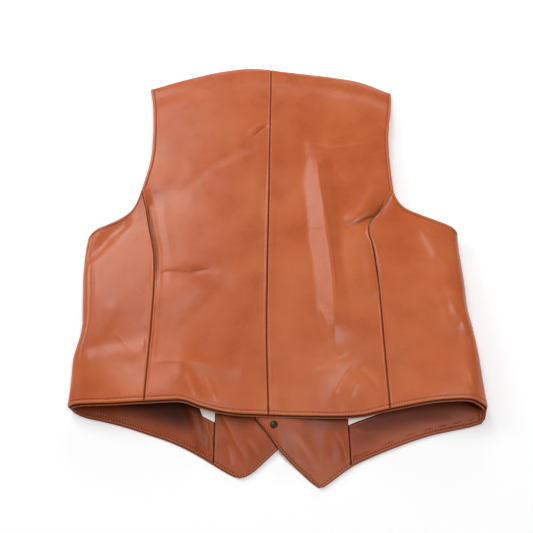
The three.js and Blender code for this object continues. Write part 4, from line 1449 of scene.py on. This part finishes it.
def hide_group() -> bpy.types.NodeTree:
    """Shader group of the hide: mottled colour with painted shade and painted highlight mixed in from the
    masks, uneven polish and fine grain.

    Returns:
        The node group, built once.
    """
    existing = bpy.data.node_groups.get(Group.HIDE.value)
    if existing:
        return existing
    tree = bpy.data.node_groups.new(Group.HIDE.value, "ShaderNodeTree")
    colour_kind, value_kind = "NodeSocketColor", "NodeSocketFloat"
    for name, kind, default in (
        ("Colour", colour_kind, (0.5, 0.2, 0.1, 1)),
        ("Deep Colour", colour_kind, (0.3, 0.1, 0.05, 1)),
        ("Pale Colour", colour_kind, (0.6, 0.3, 0.2, 1)),
        ("Polish", value_kind, 0.35),
        ("Shade", value_kind, 0.0),
        ("Painted_highlight", value_kind, 0.0),
        ("Valley", value_kind, 0.0),
    ):
        socket = tree.interface.new_socket(name=name, in_out="INPUT", socket_type=kind)
        socket.default_value = default
    for name, kind in (("Colour", colour_kind), ("Roughness", value_kind), ("Height", value_kind)):
        tree.interface.new_socket(name=name, in_out="OUTPUT", socket_type=kind)
    given = tree.nodes.new("NodeGroupInput").outputs
    result = tree.nodes.new("NodeGroupOutput").inputs
    place = tree.nodes.new("ShaderNodeTexCoord").outputs["Object"]
    clouds = add_node(tree, "ShaderNodeTexNoise", Vector=place, Scale=15.0, Detail=2.0, Roughness=0.45)
    blotch = add_node(tree, "ShaderNodeTexNoise", Vector=place, Scale=34.0, Detail=2.0, Roughness=0.4)
    fibre = add_node(tree, "ShaderNodeTexNoise", Vector=place, Scale=420.0, Detail=4.0, Roughness=0.65)
    pores = add_node(tree, "ShaderNodeTexVoronoi", Vector=place, Scale=1150.0)
    wrinkle = add_node(tree, "ShaderNodeTexVoronoi", Vector=place, Scale=260.0)
    wrinkle.feature = "SMOOTH_F1"
    pale = math_node(tree, "MULTIPLY_ADD", clouds.outputs["Fac"], 2.4, -0.85, clamp=True)
    deep = math_node(tree, "MULTIPLY_ADD", blotch.outputs["Fac"], -2.4, 1.45, clamp=True)
    colour = given["Colour"]
    # The last three layers paint light into the colour: a painted highlight, painted shade in the creases,
    # and painted shade in the seams, grooves and hem
    for mask, strength, tint in (
        (pale, 0.45, "Pale Colour"),
        (deep, 0.16, "Deep Colour"),
        (fibre.outputs["Fac"], 0.16, "Deep Colour"),
        (given["Painted_highlight"], 0.4, "Pale Colour"),
        (given["Valley"], 0.45, "Deep Colour"),
        (given["Shade"], 0.9, "Deep Colour"),
    ):
        colour = mix_colour(tree, math_node(tree, "MULTIPLY", mask, strength), colour, given[tint])
    tree.links.new(colour, result["Colour"])
    rough = math_node(tree, "MULTIPLY_ADD", blotch.outputs["Fac"], 0.18, given["Polish"])
    dulled = math_node(tree, "MULTIPLY", given["Shade"], 0.25)
    tree.links.new(math_node(tree, "ADD", rough, dulled, clamp=True), result["Roughness"])
    grain = math_node(tree, "MULTIPLY", pores.outputs["Distance"], 0.35)
    for relief, strength in (
        (fibre.outputs["Fac"], 0.5),
        (wrinkle.outputs["Distance"], 0.3),
        (blotch.outputs["Fac"], 2.2),
    ):
        grain = math_node(tree, "ADD", grain, math_node(tree, "MULTIPLY", relief, strength))
    tree.links.new(grain, result["Height"])
    return tree


def new_material(name: str) -> tuple[bpy.types.Material, bpy.types.NodeTree, bpy.types.Node]:
    """Makes a material.

    Args:
        name: Name of the material.

    Returns:
        The material, its node tree and its shader.
    """
    material = bpy.data.materials.new(name)
    material.use_nodes = True
    return material, material.node_tree, material.node_tree.nodes["Principled BSDF"]


@dataclass(frozen=True)
class LeatherFinish:
    """Semi-gloss dyed leather.

    Attributes:
        name: Name of the material.
        colour: Main colour of the hide.
        deep: Colour of its dark blotches, and of the painted shade in its hollows, creases and grooves.
        pale: Colour of its light patches, and of the painted highlight on its ridges and lips.
        polish: Lowest roughness.
        grain_depth: Depth of the grain, in millimetres.
        grain_strength: Strength of the grain.
        specular: Strength of the gloss.
    """

    name: str
    colour: tuple[int, int, int]
    deep: tuple[int, int, int]
    pale: tuple[int, int, int]
    polish: float
    grain_depth: float = 0.13
    grain_strength: float = 0.55
    specular: float = 0.3

    def material(self) -> bpy.types.Material:
        """Builds the material.

        Returns:
            The finished material.
        """
        material, tree, shader = new_material(self.name)
        group = tree.nodes.new("ShaderNodeGroup")
        group.node_tree = hide_group()
        group.inputs["Colour"].default_value = srgb(*self.colour)
        group.inputs["Deep Colour"].default_value = srgb(*self.deep)
        group.inputs["Pale Colour"].default_value = srgb(*self.pale)
        group.inputs["Polish"].default_value = self.polish
        # These masks paint shade, highlight and crease shade into the hide's colour
        for key in ("shade", "painted_highlight", "valley"):
            attribute = tree.nodes.new("ShaderNodeAttribute")
            attribute.attribute_name = key
            tree.links.new(attribute.outputs["Fac"], group.inputs[key.capitalize()])
        bump = add_node(tree, "ShaderNodeBump", Strength=self.grain_strength,
                        Distance=self.grain_depth * MM, Height=group.outputs["Height"])
        tree.links.new(group.outputs["Colour"], shader.inputs["Base Color"])
        tree.links.new(group.outputs["Roughness"], shader.inputs["Roughness"])
        tree.links.new(bump.outputs["Normal"], shader.inputs["Normal"])
        shader.inputs["Specular IOR Level"].default_value = self.specular
        return material


@dataclass(frozen=True)
class SatinFinish:
    """Pale satin lining with a fine diagonal weave, which glows with painted light.

    Attributes:
        name: Name of the material.
        colour: Colour of the threads.
        thread_pitch: Distance between the threads, in millimetres.
        weave_angle: Turn of the weave, in degrees.
        weave_depth: Depth of the weave, in millimetres.
        darkening: Brightness of the hollows against the threads.
        roughness: Roughness of the threads.
        sheen: Strength of the soft sheen.
        glow: Painted light that the cloth gives off, so that it stays pale in the shade under the hem.
    """

    name: str
    colour: tuple[int, int, int]
    thread_pitch: float = 0.5
    weave_angle: float = 32
    weave_depth: float = 0.08
    darkening: float = 0.8
    roughness: float = 0.45
    sheen: float = 0.3
    glow: float = 0.25

    def material(self) -> bpy.types.Material:
        """Builds the material.

        Returns:
            The finished material.
        """
        material, tree, shader = new_material(self.name)
        place = tree.nodes.new("ShaderNodeTexCoord").outputs["Object"]
        turned = add_node(tree, "ShaderNodeMapping", Vector=place,
                          Rotation=(0, 0, math.radians(self.weave_angle)))
        weave = add_node(tree, "ShaderNodeTexWave", Vector=turned.outputs["Vector"],
                         Scale=1 / (self.thread_pitch * MM * 20), Distortion=0.6, Detail=2.0)
        clouds = add_node(tree, "ShaderNodeTexNoise", Vector=place, Scale=40.0, Detail=3.0)
        colour = light = srgb(*self.colour)
        darker = tuple(self.darkening * c for c in light[:3]) + (1.0,)
        for pattern, strength in ((weave, 0.25), (clouds, 0.2)):
            mask = math_node(tree, "MULTIPLY", pattern.outputs["Fac"], strength)
            colour = mix_colour(tree, mask, colour, darker)
        bump = add_node(tree, "ShaderNodeBump", Strength=0.4, Distance=self.weave_depth * MM,
                        Height=weave.outputs["Fac"])
        tree.links.new(colour, shader.inputs["Base Color"])
        tree.links.new(bump.outputs["Normal"], shader.inputs["Normal"])
        shader.inputs["Roughness"].default_value = self.roughness
        shader.inputs["Sheen Weight"].default_value = self.sheen
        # Painted light: the lining glows by itself
        shader.inputs["Emission Color"].default_value = light
        shader.inputs["Emission Strength"].default_value = self.glow
        return material


@dataclass(frozen=True)
class BrassFinish:
    """Antique brass with patches of tarnish.

    Attributes:
        name: Name of the material.
        bright: Colour of the clean metal, darkened as painted shade of the hem it lies under.
        dark: Colour of the tarnish, darkened likewise as painted shade.
        metallic: Share of bare metal in the look.
    """

    name: str
    bright: tuple[int, int, int]
    dark: tuple[int, int, int]
    metallic: float = 0.9

    def material(self) -> bpy.types.Material:
        """Builds the material.

        Returns:
            The finished material.
        """
        material, tree, shader = new_material(self.name)
        place = tree.nodes.new("ShaderNodeTexCoord").outputs["Object"]
        noise = add_node(tree, "ShaderNodeTexNoise", Vector=place, Scale=900.0, Detail=5.0, Roughness=0.6)
        tarnish = noise.outputs["Fac"]
        patch = math_node(tree, "MULTIPLY_ADD", tarnish, 3.0, -1.0, clamp=True)
        rough = math_node(tree, "MULTIPLY_ADD", tarnish, 0.3, 0.22)
        colour = mix_colour(tree, patch, srgb(*self.bright), srgb(*self.dark))
        tree.links.new(colour, shader.inputs["Base Color"])
        tree.links.new(rough, shader.inputs["Roughness"])
        shader.inputs["Metallic"].default_value = self.metallic
        return material


@dataclass(frozen=True)
class FloorFinish:
    """Pale matt studio paper.

    Attributes:
        name: Name of the material.
        shade: Grey level of the paper.
        roughness: Roughness of the paper.
        specular: Strength of its gloss.
        glow: Light that it gives off, so that it stays white beside the vest.
    """

    name: str
    shade: int = 251
    roughness: float = 0.9
    specular: float = 0.1
    glow: float = 0.18

    def material(self) -> bpy.types.Material:
        """Builds the material.

        Returns:
            The finished material.
        """
        material, _, shader = new_material(self.name)
        shader.inputs["Base Color"].default_value = srgb(self.shade, self.shade, self.shade)
        shader.inputs["Roughness"].default_value = self.roughness
        shader.inputs["Specular IOR Level"].default_value = self.specular
        shader.inputs["Emission Color"].default_value = (1, 1, 1, 1)
        shader.inputs["Emission Strength"].default_value = self.glow
        return material


@dataclass
class Stitching:
    """A row of stitches, one small thread loop copied along a line.

    Attributes:
        name: Name of the row.
        material: Finish of the thread.
        pitch: Distance from stitch to stitch, in millimetres.
        length: Length of a stitch, in millimetres.
        radius: Half the thickness of the thread, in millimetres.
        sides: Number of sides of the thread.
        margin: Length left free at each end of a line, in millimetres.
        bulge: Height of a stitch's middle above the leather, in millimetres.
    """

    name: str
    material: bpy.types.Material
    pitch: float = STITCH_PITCH
    length: float = STITCH_LENGTH
    radius: float = STITCH_RADIUS
    sides: int = 6
    margin: float = 1
    bulge: float = 0.3

    def _loop(self) -> tuple[np.ndarray, list[list[int]]]:
        """Models one stitch from a small sphere.

        Returns:
            Its points in millimetres and its faces.
        """
        deselect_all()
        bpy.ops.mesh.primitive_uv_sphere_add(segments=self.sides, ring_count=5, radius=self.radius * MM,
                                             location=(0, 0, 0), rotation=(0, math.pi / 2, 0))
        loop = bpy.context.object
        bpy.ops.object.transform_apply(location=False, rotation=True, scale=False)
        bpy.ops.object.mode_set(mode="EDIT")
        bpy.ops.mesh.select_all(action="SELECT")
        stretch = self.length / (2 * self.radius)
        bpy.ops.transform.resize(value=(stretch, 1, 1), center_override=(0, 0, 0))
        bpy.ops.object.mode_set(mode="OBJECT")
        points = np.array([tuple(v.co) for v in loop.data.vertices]) / MM
        faces = [list(p.vertices) for p in loop.data.polygons]
        bpy.data.objects.remove(loop)
        return points, faces

    def sew(self, lines: list[tuple[np.ndarray, np.ndarray]]) -> bpy.types.Object:
        """Copies the stitch along some lines.

        Args:
            lines: Points and normals of each line.

        Returns:
            The finished row of stitches.
        """
        shape, faces = self._loop()
        points = []
        polygons = []
        for line, normals in lines:
            steps = np.linalg.norm(np.diff(line, axis=0), axis=1)
            along = np.concatenate([[0], np.cumsum(steps)])
            count = int((along[-1] - 2 * self.margin) / self.pitch)
            for k in range(count):
                middle = self.margin + (k + 0.5) * self.pitch
                ends = [np.array([np.interp(m, along, line[:, a]) for a in range(3)])
                        for m in (middle - self.length / 2, middle, middle + self.length / 2)]
                normal = np.array([np.interp(middle, along, normals[:, a]) for a in range(3)])
                forward = ends[2] - ends[0]
                forward /= np.linalg.norm(forward)
                normal -= forward * normal.dot(forward)
                normal /= np.linalg.norm(normal)
                aside = np.cross(normal, forward)
                frame = np.stack([forward, aside, normal])
                base = len(points) * len(shape)
                points.append(shape @ frame + ends[1] + normal * self.bulge)
                polygons += [[base + index for index in face] for face in faces]
        mesh = bpy.data.meshes.new(self.name)
        mesh.from_pydata((np.concatenate(points) * MM).tolist(), [], polygons)
        piece = bpy.data.objects.new(self.name, mesh)
        bpy.context.scene.collection.objects.link(piece)
        mesh.materials.append(self.material)
        take(piece)
        bpy.ops.object.shade_smooth()
        deselect_all()
        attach(piece, "root")
        LOG.info("%s: %d stitches", self.name, len(points))
        return piece


# Radius in millimetres and share of the height of each ring of a snap, from its foot to its top
SOCKET_RINGS = (
    (4.2, 0.0), (5.6, 0.03), (6.2, 0.1), (6.25, 0.16), (6.1, 0.227), (1.7, 0.227), (1.7, 0.697),
    (5.1, 0.697), (5.2, 0.74), (5.2, 0.97), (5.0, 1.0), (2.9, 1.0), (2.7, 0.97), (2.7, 0.79),
)
STUD_RINGS = (
    (2.1, 0.0), (2.2, 0.03), (2.0, 0.3), (4.5, 0.31), (4.55, 0.36), (1.7, 0.37), (1.7, 0.86),
    (4.3, 0.865), (4.45, 0.9), (4.3, 0.95), (3.4, 1.0), (2.6, 0.97), (1.2, 0.93),
)
SNAPS = range(1, 5)


@dataclass
class SnapRings:
    """A turned metal piece, drawn up ring by ring from a flat disc.

    Attributes:
        node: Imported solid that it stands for.
        rings: Radius and share of the height of each ring, from the foot to the top.
        sides: Number of sides of each ring.
    """

    node: str
    rings: tuple[tuple[float, float], ...]
    sides: int = 32

    def build(self, material: bpy.types.Material) -> bpy.types.Object:
        """Turns the piece in the place of its solid.

        Args:
            material: Finish of the metal.

        Returns:
            The finished object.
        """
        low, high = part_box(self.node)
        centre = ((low[0] + high[0]) / 2, (low[1] + high[1]) / 2)
        height = high[2] - low[2]
        deselect_all()
        radius, share = self.rings[0]
        bpy.ops.mesh.primitive_circle_add(vertices=self.sides, radius=radius * MM, fill_type="NGON",
                                          location=(*centre, low[2] + share * height))
        piece = bpy.context.object
        piece.name = self.node + "_metal"
        bpy.ops.object.transform_apply(location=True, rotation=True, scale=True)
        bpy.ops.object.mode_set(mode="EDIT")
        bpy.ops.mesh.select_all(action="SELECT")
        for (r0, h0), (r1, h1) in zip(self.rings, self.rings[1:]):
            bpy.ops.mesh.extrude_region_move(TRANSFORM_OT_translate={"value": (0, 0, (h1 - h0) * height)})
            bpy.ops.transform.resize(value=(r1 / r0, r1 / r0, 1), center_override=(*centre, 0))
        bpy.ops.mesh.select_all(action="SELECT")
        bpy.ops.mesh.normals_make_consistent(inside=False)
        bpy.ops.object.mode_set(mode="OBJECT")
        round_edges(piece, width=0.12, bevelled=35, smoothed=40)
        piece.data.materials.append(material)
        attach(piece, "root")
        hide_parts(self.node)
        LOG.info("%s: turned", piece.name)
        return piece


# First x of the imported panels' grids, in millimetres
CENTRE_SEAM_X = -7
SIDE_BACK_SEAM_X = {Side.LEFT: -145, Side.RIGHT: 128}
FRONT_EDGE_X = {Side.LEFT: 22, Side.RIGHT: -22}


@dataclass
class Vest:
    """All the pieces of the vest, in the order in which they are laid.

    Attributes:
        frame: Shared frame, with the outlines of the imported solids.
        sheets: Sheets that are laid, by name.
    """

    frame: dict[str, object]
    sheets: dict[str, Sheet] = field(default_factory=dict)

    def _grid(self, name: str, upwards: bool, first_x: float) -> np.ndarray:
        """Grid of points of one packed panel."""
        return read_grid(self.frame["nodes"][name], upwards, first_x)

    def lay_back(self, leather: bpy.types.Material) -> None:
        """Lays the four panels of the back."""
        for side in Side:
            key = side.value
            left = side is Side.LEFT
            grid = calmed(self._grid(f"back_{key}", True, CENTRE_SEAM_X), SEAM_END_ROW)
            centre = SmoothSurface(grid, row_breaks=(SEAM_END_ROW,))
            flank = SmoothSurface(self._grid(f"side_back_{key}", True, SIDE_BACK_SEAM_X[side]))
            self._add(Sheet(
                name=f"back_panel_{key}", nodes=(f"back_{key}",), surface=centre, slot="outer_leather",
                flat=(186, 530), cut_area=0.078, rests_on=(f"front_{key}",),
                edges=(Edge.SEAM, Edge.SEAM, Edge.TURNED, Edge.PLAIN), creases=BACK_CREASES,
                regrades=(LEFT_PLAIN,) if left else (FINGER, RIGHT_PLAIN),
                hidden_seam=None if left else HIDDEN_SEAM, armhole_row=SEAM_END_ROW,
                folds=LEFT_CENTRE_FOLDS if left else RIGHT_CENTRE_FOLDS,
                margins=(8, 8, 9, 5), pushes=(SEAM_PUSH, SEAM_PUSH, 0, 0),
            ), leather)
            self._add(Sheet(
                name=f"side_back_panel_{key}", nodes=(f"side_back_{key}",), surface=flank,
                slot="outer_leather", flat=(126, 300), cut_area=0.024 if left else 0.03,
                rests_on=(f"front_{key}",), edges=(Edge.SEAM, Edge.SEAM, Edge.TURNED, Edge.TURNED),
                creases=BACK_CREASES, regrades=(LEFT_SIDE_PLAIN,) if left else (),
                hidden_seam=None if left else HIDDEN_SEAM,
                folds=LEFT_FLANK_FOLDS if left else RIGHT_FLANK_FOLDS,
                margins=(8, 6, 9, 8), pushes=(SEAM_PUSH, 0, 0, 0),
            ), leather)

    def lay_fronts(self, leather: bpy.types.Material, facing: bpy.types.Material,
                   lining: bpy.types.Material) -> None:
        """Lays the fronts with their facings and lining."""
        inner = {"looks": Looks.IN, "depth": INNER_DEPTH, "thickness": FACING}
        for side in Side:
            key = side.value
            left = side is Side.LEFT
            grid = self._grid(f"front_{key}", False, FRONT_EDGE_X[side])
            surface = SmoothSurface(grid, column_breaks=(POINT_COLUMN,), row_breaks=(UNDERARM_ROW,))
            last_column = grid.shape[0] - 1
            layer_top = grid.shape[1] - 1 - TOP_ROLL_ROWS
            self._add(Sheet(
                name=f"front_panel_{key}", nodes=(f"front_{key}",), surface=surface, slot="outer_leather",
                flat=(262, 600), cut_area=0.106, rests_on=("floor",),
                edges=(Edge.PLAIN, Edge.PLAIN, Edge.PLAIN, Edge.PLAIN), margins=(5, 5, 5, 4), fine=1.0,
                cell=5, waviness=0.0, round_tip=True, rim_shade=0.6, side=side,
            ), leather)
            self._add(Sheet(
                name=f"edge_facing_{key}", nodes=(f"front_edge_facing_{key}",), surface=surface,
                slot="facing_leather", columns=(0, FACING_COLUMN), rows=(0, layer_top),
                flat=(106, 590), cut_area=0.039 if left else 0.044, rests_on=(f"front_{key}",),
                edges=(Edge.TURNED, Edge.SEAM, Edge.TURNED, Edge.PLAIN),
                insets=(FACING_EDGE_INSET, HALF_GAP, FACING_EDGE_INSET, 0), creases=INNER_CREASES,
                margins=(9, 7, 9, 3), cell=1.7, waviness=0.5, round_tip=True,
                pushes=(0, SEAM_PUSH, 0, 0), **inner,
            ), facing)
            self._add(Sheet(
                name=f"hem_facing_{key}", nodes=(f"front_hem_facing_{key}",), surface=surface,
                slot="facing_leather", columns=(FACING_COLUMN, last_column), rows=(0, HEM_FACING_ROW),
                flat=(180, 62), cut_area=0.0092 if left else 0.0068, rests_on=(f"front_{key}",),
                edges=(Edge.SEAM, Edge.SEAM, Edge.TURNED, Edge.SEAM),
                insets=(HALF_GAP, SIDE_SEAM_INSET, FACING_EDGE_INSET, HALF_GAP), creases=INNER_CREASES,
                margins=(7, 4, 11, 6), waviness=0.5, pushes=(SEAM_PUSH, 0, 0, 0), pucker=0.7,
                seam_step=SEAM_STEP if left else 0, inside_shade=0.95 if left else 0.5, side=side, **inner,
            ), facing)
            self._add(Sheet(
                name=f"lining_{key}", nodes=(f"front_lining_{key}",), surface=surface,
                slot="lining_cloth", columns=(FACING_COLUMN, last_column), rows=(HEM_FACING_ROW, layer_top),
                flat=(180, 520), cut_area=0.056, rests_on=(f"front_{key}",),
                insets=(HALF_GAP, SIDE_SEAM_INSET, HALF_GAP, 0), margins=(4, 4, 5, 3), cell=4,
                waviness=0.3, seam_step=-SEAM_STEP if left else 0, **inner,
            ), lining)

    def lay_back_hem(self, facing: bpy.types.Material) -> None:
        """Lays the facings behind the back's hem."""
        for side in Side:
            key = side.value
            centre = self.sheets[f"back_panel_{key}"].surface.points
            flank = self.sheets[f"side_back_panel_{key}"].surface.points
            band = np.concatenate([centre[:, :4], flank[1:, :4]])
            surface = SmoothSurface(band)
            self._add(Sheet(
                name=f"back_hem_facing_{key}_band", nodes=(f"back_hem_facing_{key}",), surface=surface,
                slot="facing_leather", rows=(0, BACK_FACING_ROW), flat=(262, 38), cut_area=0.0088,
                rests_on=(f"back_{key}",), insets=(HALF_GAP, SIDE_SEAM_INSET, 0, 0), depth=FACING_DEPTH,
                thickness=FACING, margins=(3, 3, 6, 3), waviness=0.2, pushes=(0, 0, 2.2, 0), hem_drop=2.4,
                coarse=2, cell=2,
            ), facing)

    def _add(self, sheet: Sheet, material: bpy.types.Material) -> None:
        """Builds one sheet and keeps it by its name."""
        sheet.build(material)
        self.sheets[sheet.name] = sheet

    def sew(self, thread: bpy.types.Material) -> None:
        """Sews the rows of topstitching."""
        for side in Side:
            key = side.value
            back = self.sheets[f"back_panel_{key}"]
            flank = self.sheets[f"side_back_panel_{key}"]
            armhole, normals = back.line_at("last", TOPSTITCH_INSET)
            above = back.row_place[-1] > back.surface.row_knots[SEAM_END_ROW] + 4
            Stitching(f"topstitch_back_{key}", thread).sew([
                back.line_at("bottom", TOPSTITCH_INSET),
                flank.line_at("bottom", TOPSTITCH_INSET),
                flank.line_at("top", TOPSTITCH_INSET),
                (armhole[above], normals[above]),
            ])
            edge = self.sheets[f"edge_facing_{key}"]
            hem = self.sheets[f"hem_facing_{key}"]
            Stitching(f"topstitch_facing_{key}", thread).sew([
                edge.line_at("first", TOPSTITCH_INSET),
                edge.line_at("bottom", TOPSTITCH_INSET),
                hem.line_at("bottom", TOPSTITCH_INSET),
            ])

    def close_snaps(self, brass: bpy.types.Material) -> None:
        """Turns the four snaps."""
        for number in SNAPS:
            SnapRings(f"snap_socket_{number}", SOCKET_RINGS).build(brass)
            SnapRings(f"snap_stud_{number}", STUD_RINGS).build(brass)


@dataclass(frozen=True)
class Softbox:
    """A rectangular light that looks at the vest.

    Attributes:
        name: Name of the light.
        place: Place of its middle, in metres.
        size: Width and height, in metres.
        power: Power, in watts.
    """

    name: str
    place: tuple[float, float, float]
    size: tuple[float, float]
    power: float

    def hang(self) -> None:
        """Adds the light to the scene."""
        data = bpy.data.lights.new(self.name, "AREA")
        data.shape = "RECTANGLE"
        data.size, data.size_y = self.size
        data.energy = self.power
        lamp = bpy.data.objects.new(self.name, data)
        lamp.location = self.place
        lamp.rotation_euler = Vector(self.place).to_track_quat("Z", "Y").to_euler()
        bpy.context.scene.collection.objects.link(lamp)


SOFTBOXES = (
    Softbox("window", (-1.09, 1.89, 2.60), (0.5, 2.2), 36),
    Softbox("low_window", (-0.89, 2.45, 2.19), (0.6, 0.9), 9),
    Softbox("left_bank", (-2.6, 1.45, 1.75), (1.3, 0.9), 31),
    Softbox("back_bank", (0.5, 3.1, 1.1), (2.4, 0.6), 16),
    Softbox("overhead", (0.9, -0.3, 3.3), (2.0, 1.4), 51),
)


@dataclass(frozen=True)
class Studio:
    """Floor, lights and camera.

    Attributes:
        aim: Point that the camera looks at, in metres.
        elevation: Height of the camera above the floor, in degrees.
        distance: Way from the camera to its aim, in metres.
        lens: Focal length, in millimetres.
        sensor: Width of the sensor, in millimetres.
        floor_size: Width of the floor, in metres.
        floor_drop: Gap between the vest and the floor, in metres.
        daylight: Strength of the even light from all round.
    """

    aim: tuple[float, float, float] = (-0.0095, -0.03, 0.0)
    elevation: float = 63.0
    distance: float = 0.814
    lens: float = 43.2
    sensor: float = 36
    floor_size: float = 8
    floor_drop: float = 0.0006
    daylight: float = 0.07

    def lay_floor(self) -> None:
        """Lays the pale floor just under the vest."""
        deselect_all()
        bpy.ops.mesh.primitive_plane_add(size=self.floor_size, location=(0, 0, -self.floor_drop))
        floor = bpy.context.object
        floor.name = "floor"
        bpy.ops.object.transform_apply(location=True, rotation=True, scale=True)
        floor.data.materials.append(FloorFinish("studio_paper").material())
        deselect_all()

    def place_camera(self) -> None:
        """Places the camera at the photograph's viewing angle."""
        tilt = math.radians(self.elevation)
        away = Vector((0, -math.cos(tilt), math.sin(tilt)))
        data = bpy.data.cameras.new("camera")
        data.lens = self.lens
        data.sensor_width = self.sensor
        camera = bpy.data.objects.new("camera", data)
        camera.location = Vector(self.aim) + away * self.distance
        camera.rotation_euler = away.to_track_quat("Z", "Y").to_euler()
        bpy.context.scene.collection.objects.link(camera)
        bpy.context.scene.camera = camera

    def light(self) -> None:
        """Sets the soft studio light."""
        for softbox in SOFTBOXES:
            softbox.hang()
        world = bpy.data.worlds.new("studio")
        world.use_nodes = True
        background = world.node_tree.nodes["Background"]
        background.inputs["Color"].default_value = (1, 1, 1, 1)
        background.inputs["Strength"].default_value = self.daylight
        bpy.context.scene.world = world
        bpy.context.scene.view_settings.view_transform = "Standard"


def main() -> None:
    """Builds the vest and its studio in order."""
    logging.basicConfig(level=logging.INFO, format="%(message)s")
    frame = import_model()
    studio = Studio()
    studio.place_camera()
    studio.lay_floor()
    studio.light()
    outer = LeatherFinish("tan_leather", (202, 98, 52), (94, 34, 15), (224, 130, 80), 0.2).material()
    # The facing leather is darker and less glossy than the outer leather, as painted shade of the gape under
    # the hem, and its deep colour is the painted shadow deep inside the hem
    inner = LeatherFinish("facing_leather", (166, 72, 34), (42, 10, 3), (210, 124, 84), 0.27,
                          specular=0.22).material()
    lining = SatinFinish("cream_satin", (248, 244, 236)).material()
    thread = LeatherFinish("tan_thread", (206, 122, 74), (140, 68, 34), (224, 148, 100), 0.4).material()
    # The brass is darker than antique brass, as painted shade of the hem above it
    brass = BrassFinish("antique_brass", (70, 60, 34), (30, 26, 16)).material()
    vest = Vest(frame)
    vest.lay_back(outer)
    vest.lay_fronts(outer, inner, lining)
    vest.lay_back_hem(inner)
    vest.sew(thread)
    vest.close_snaps(brass)


if __name__ == "__main__":
    main()
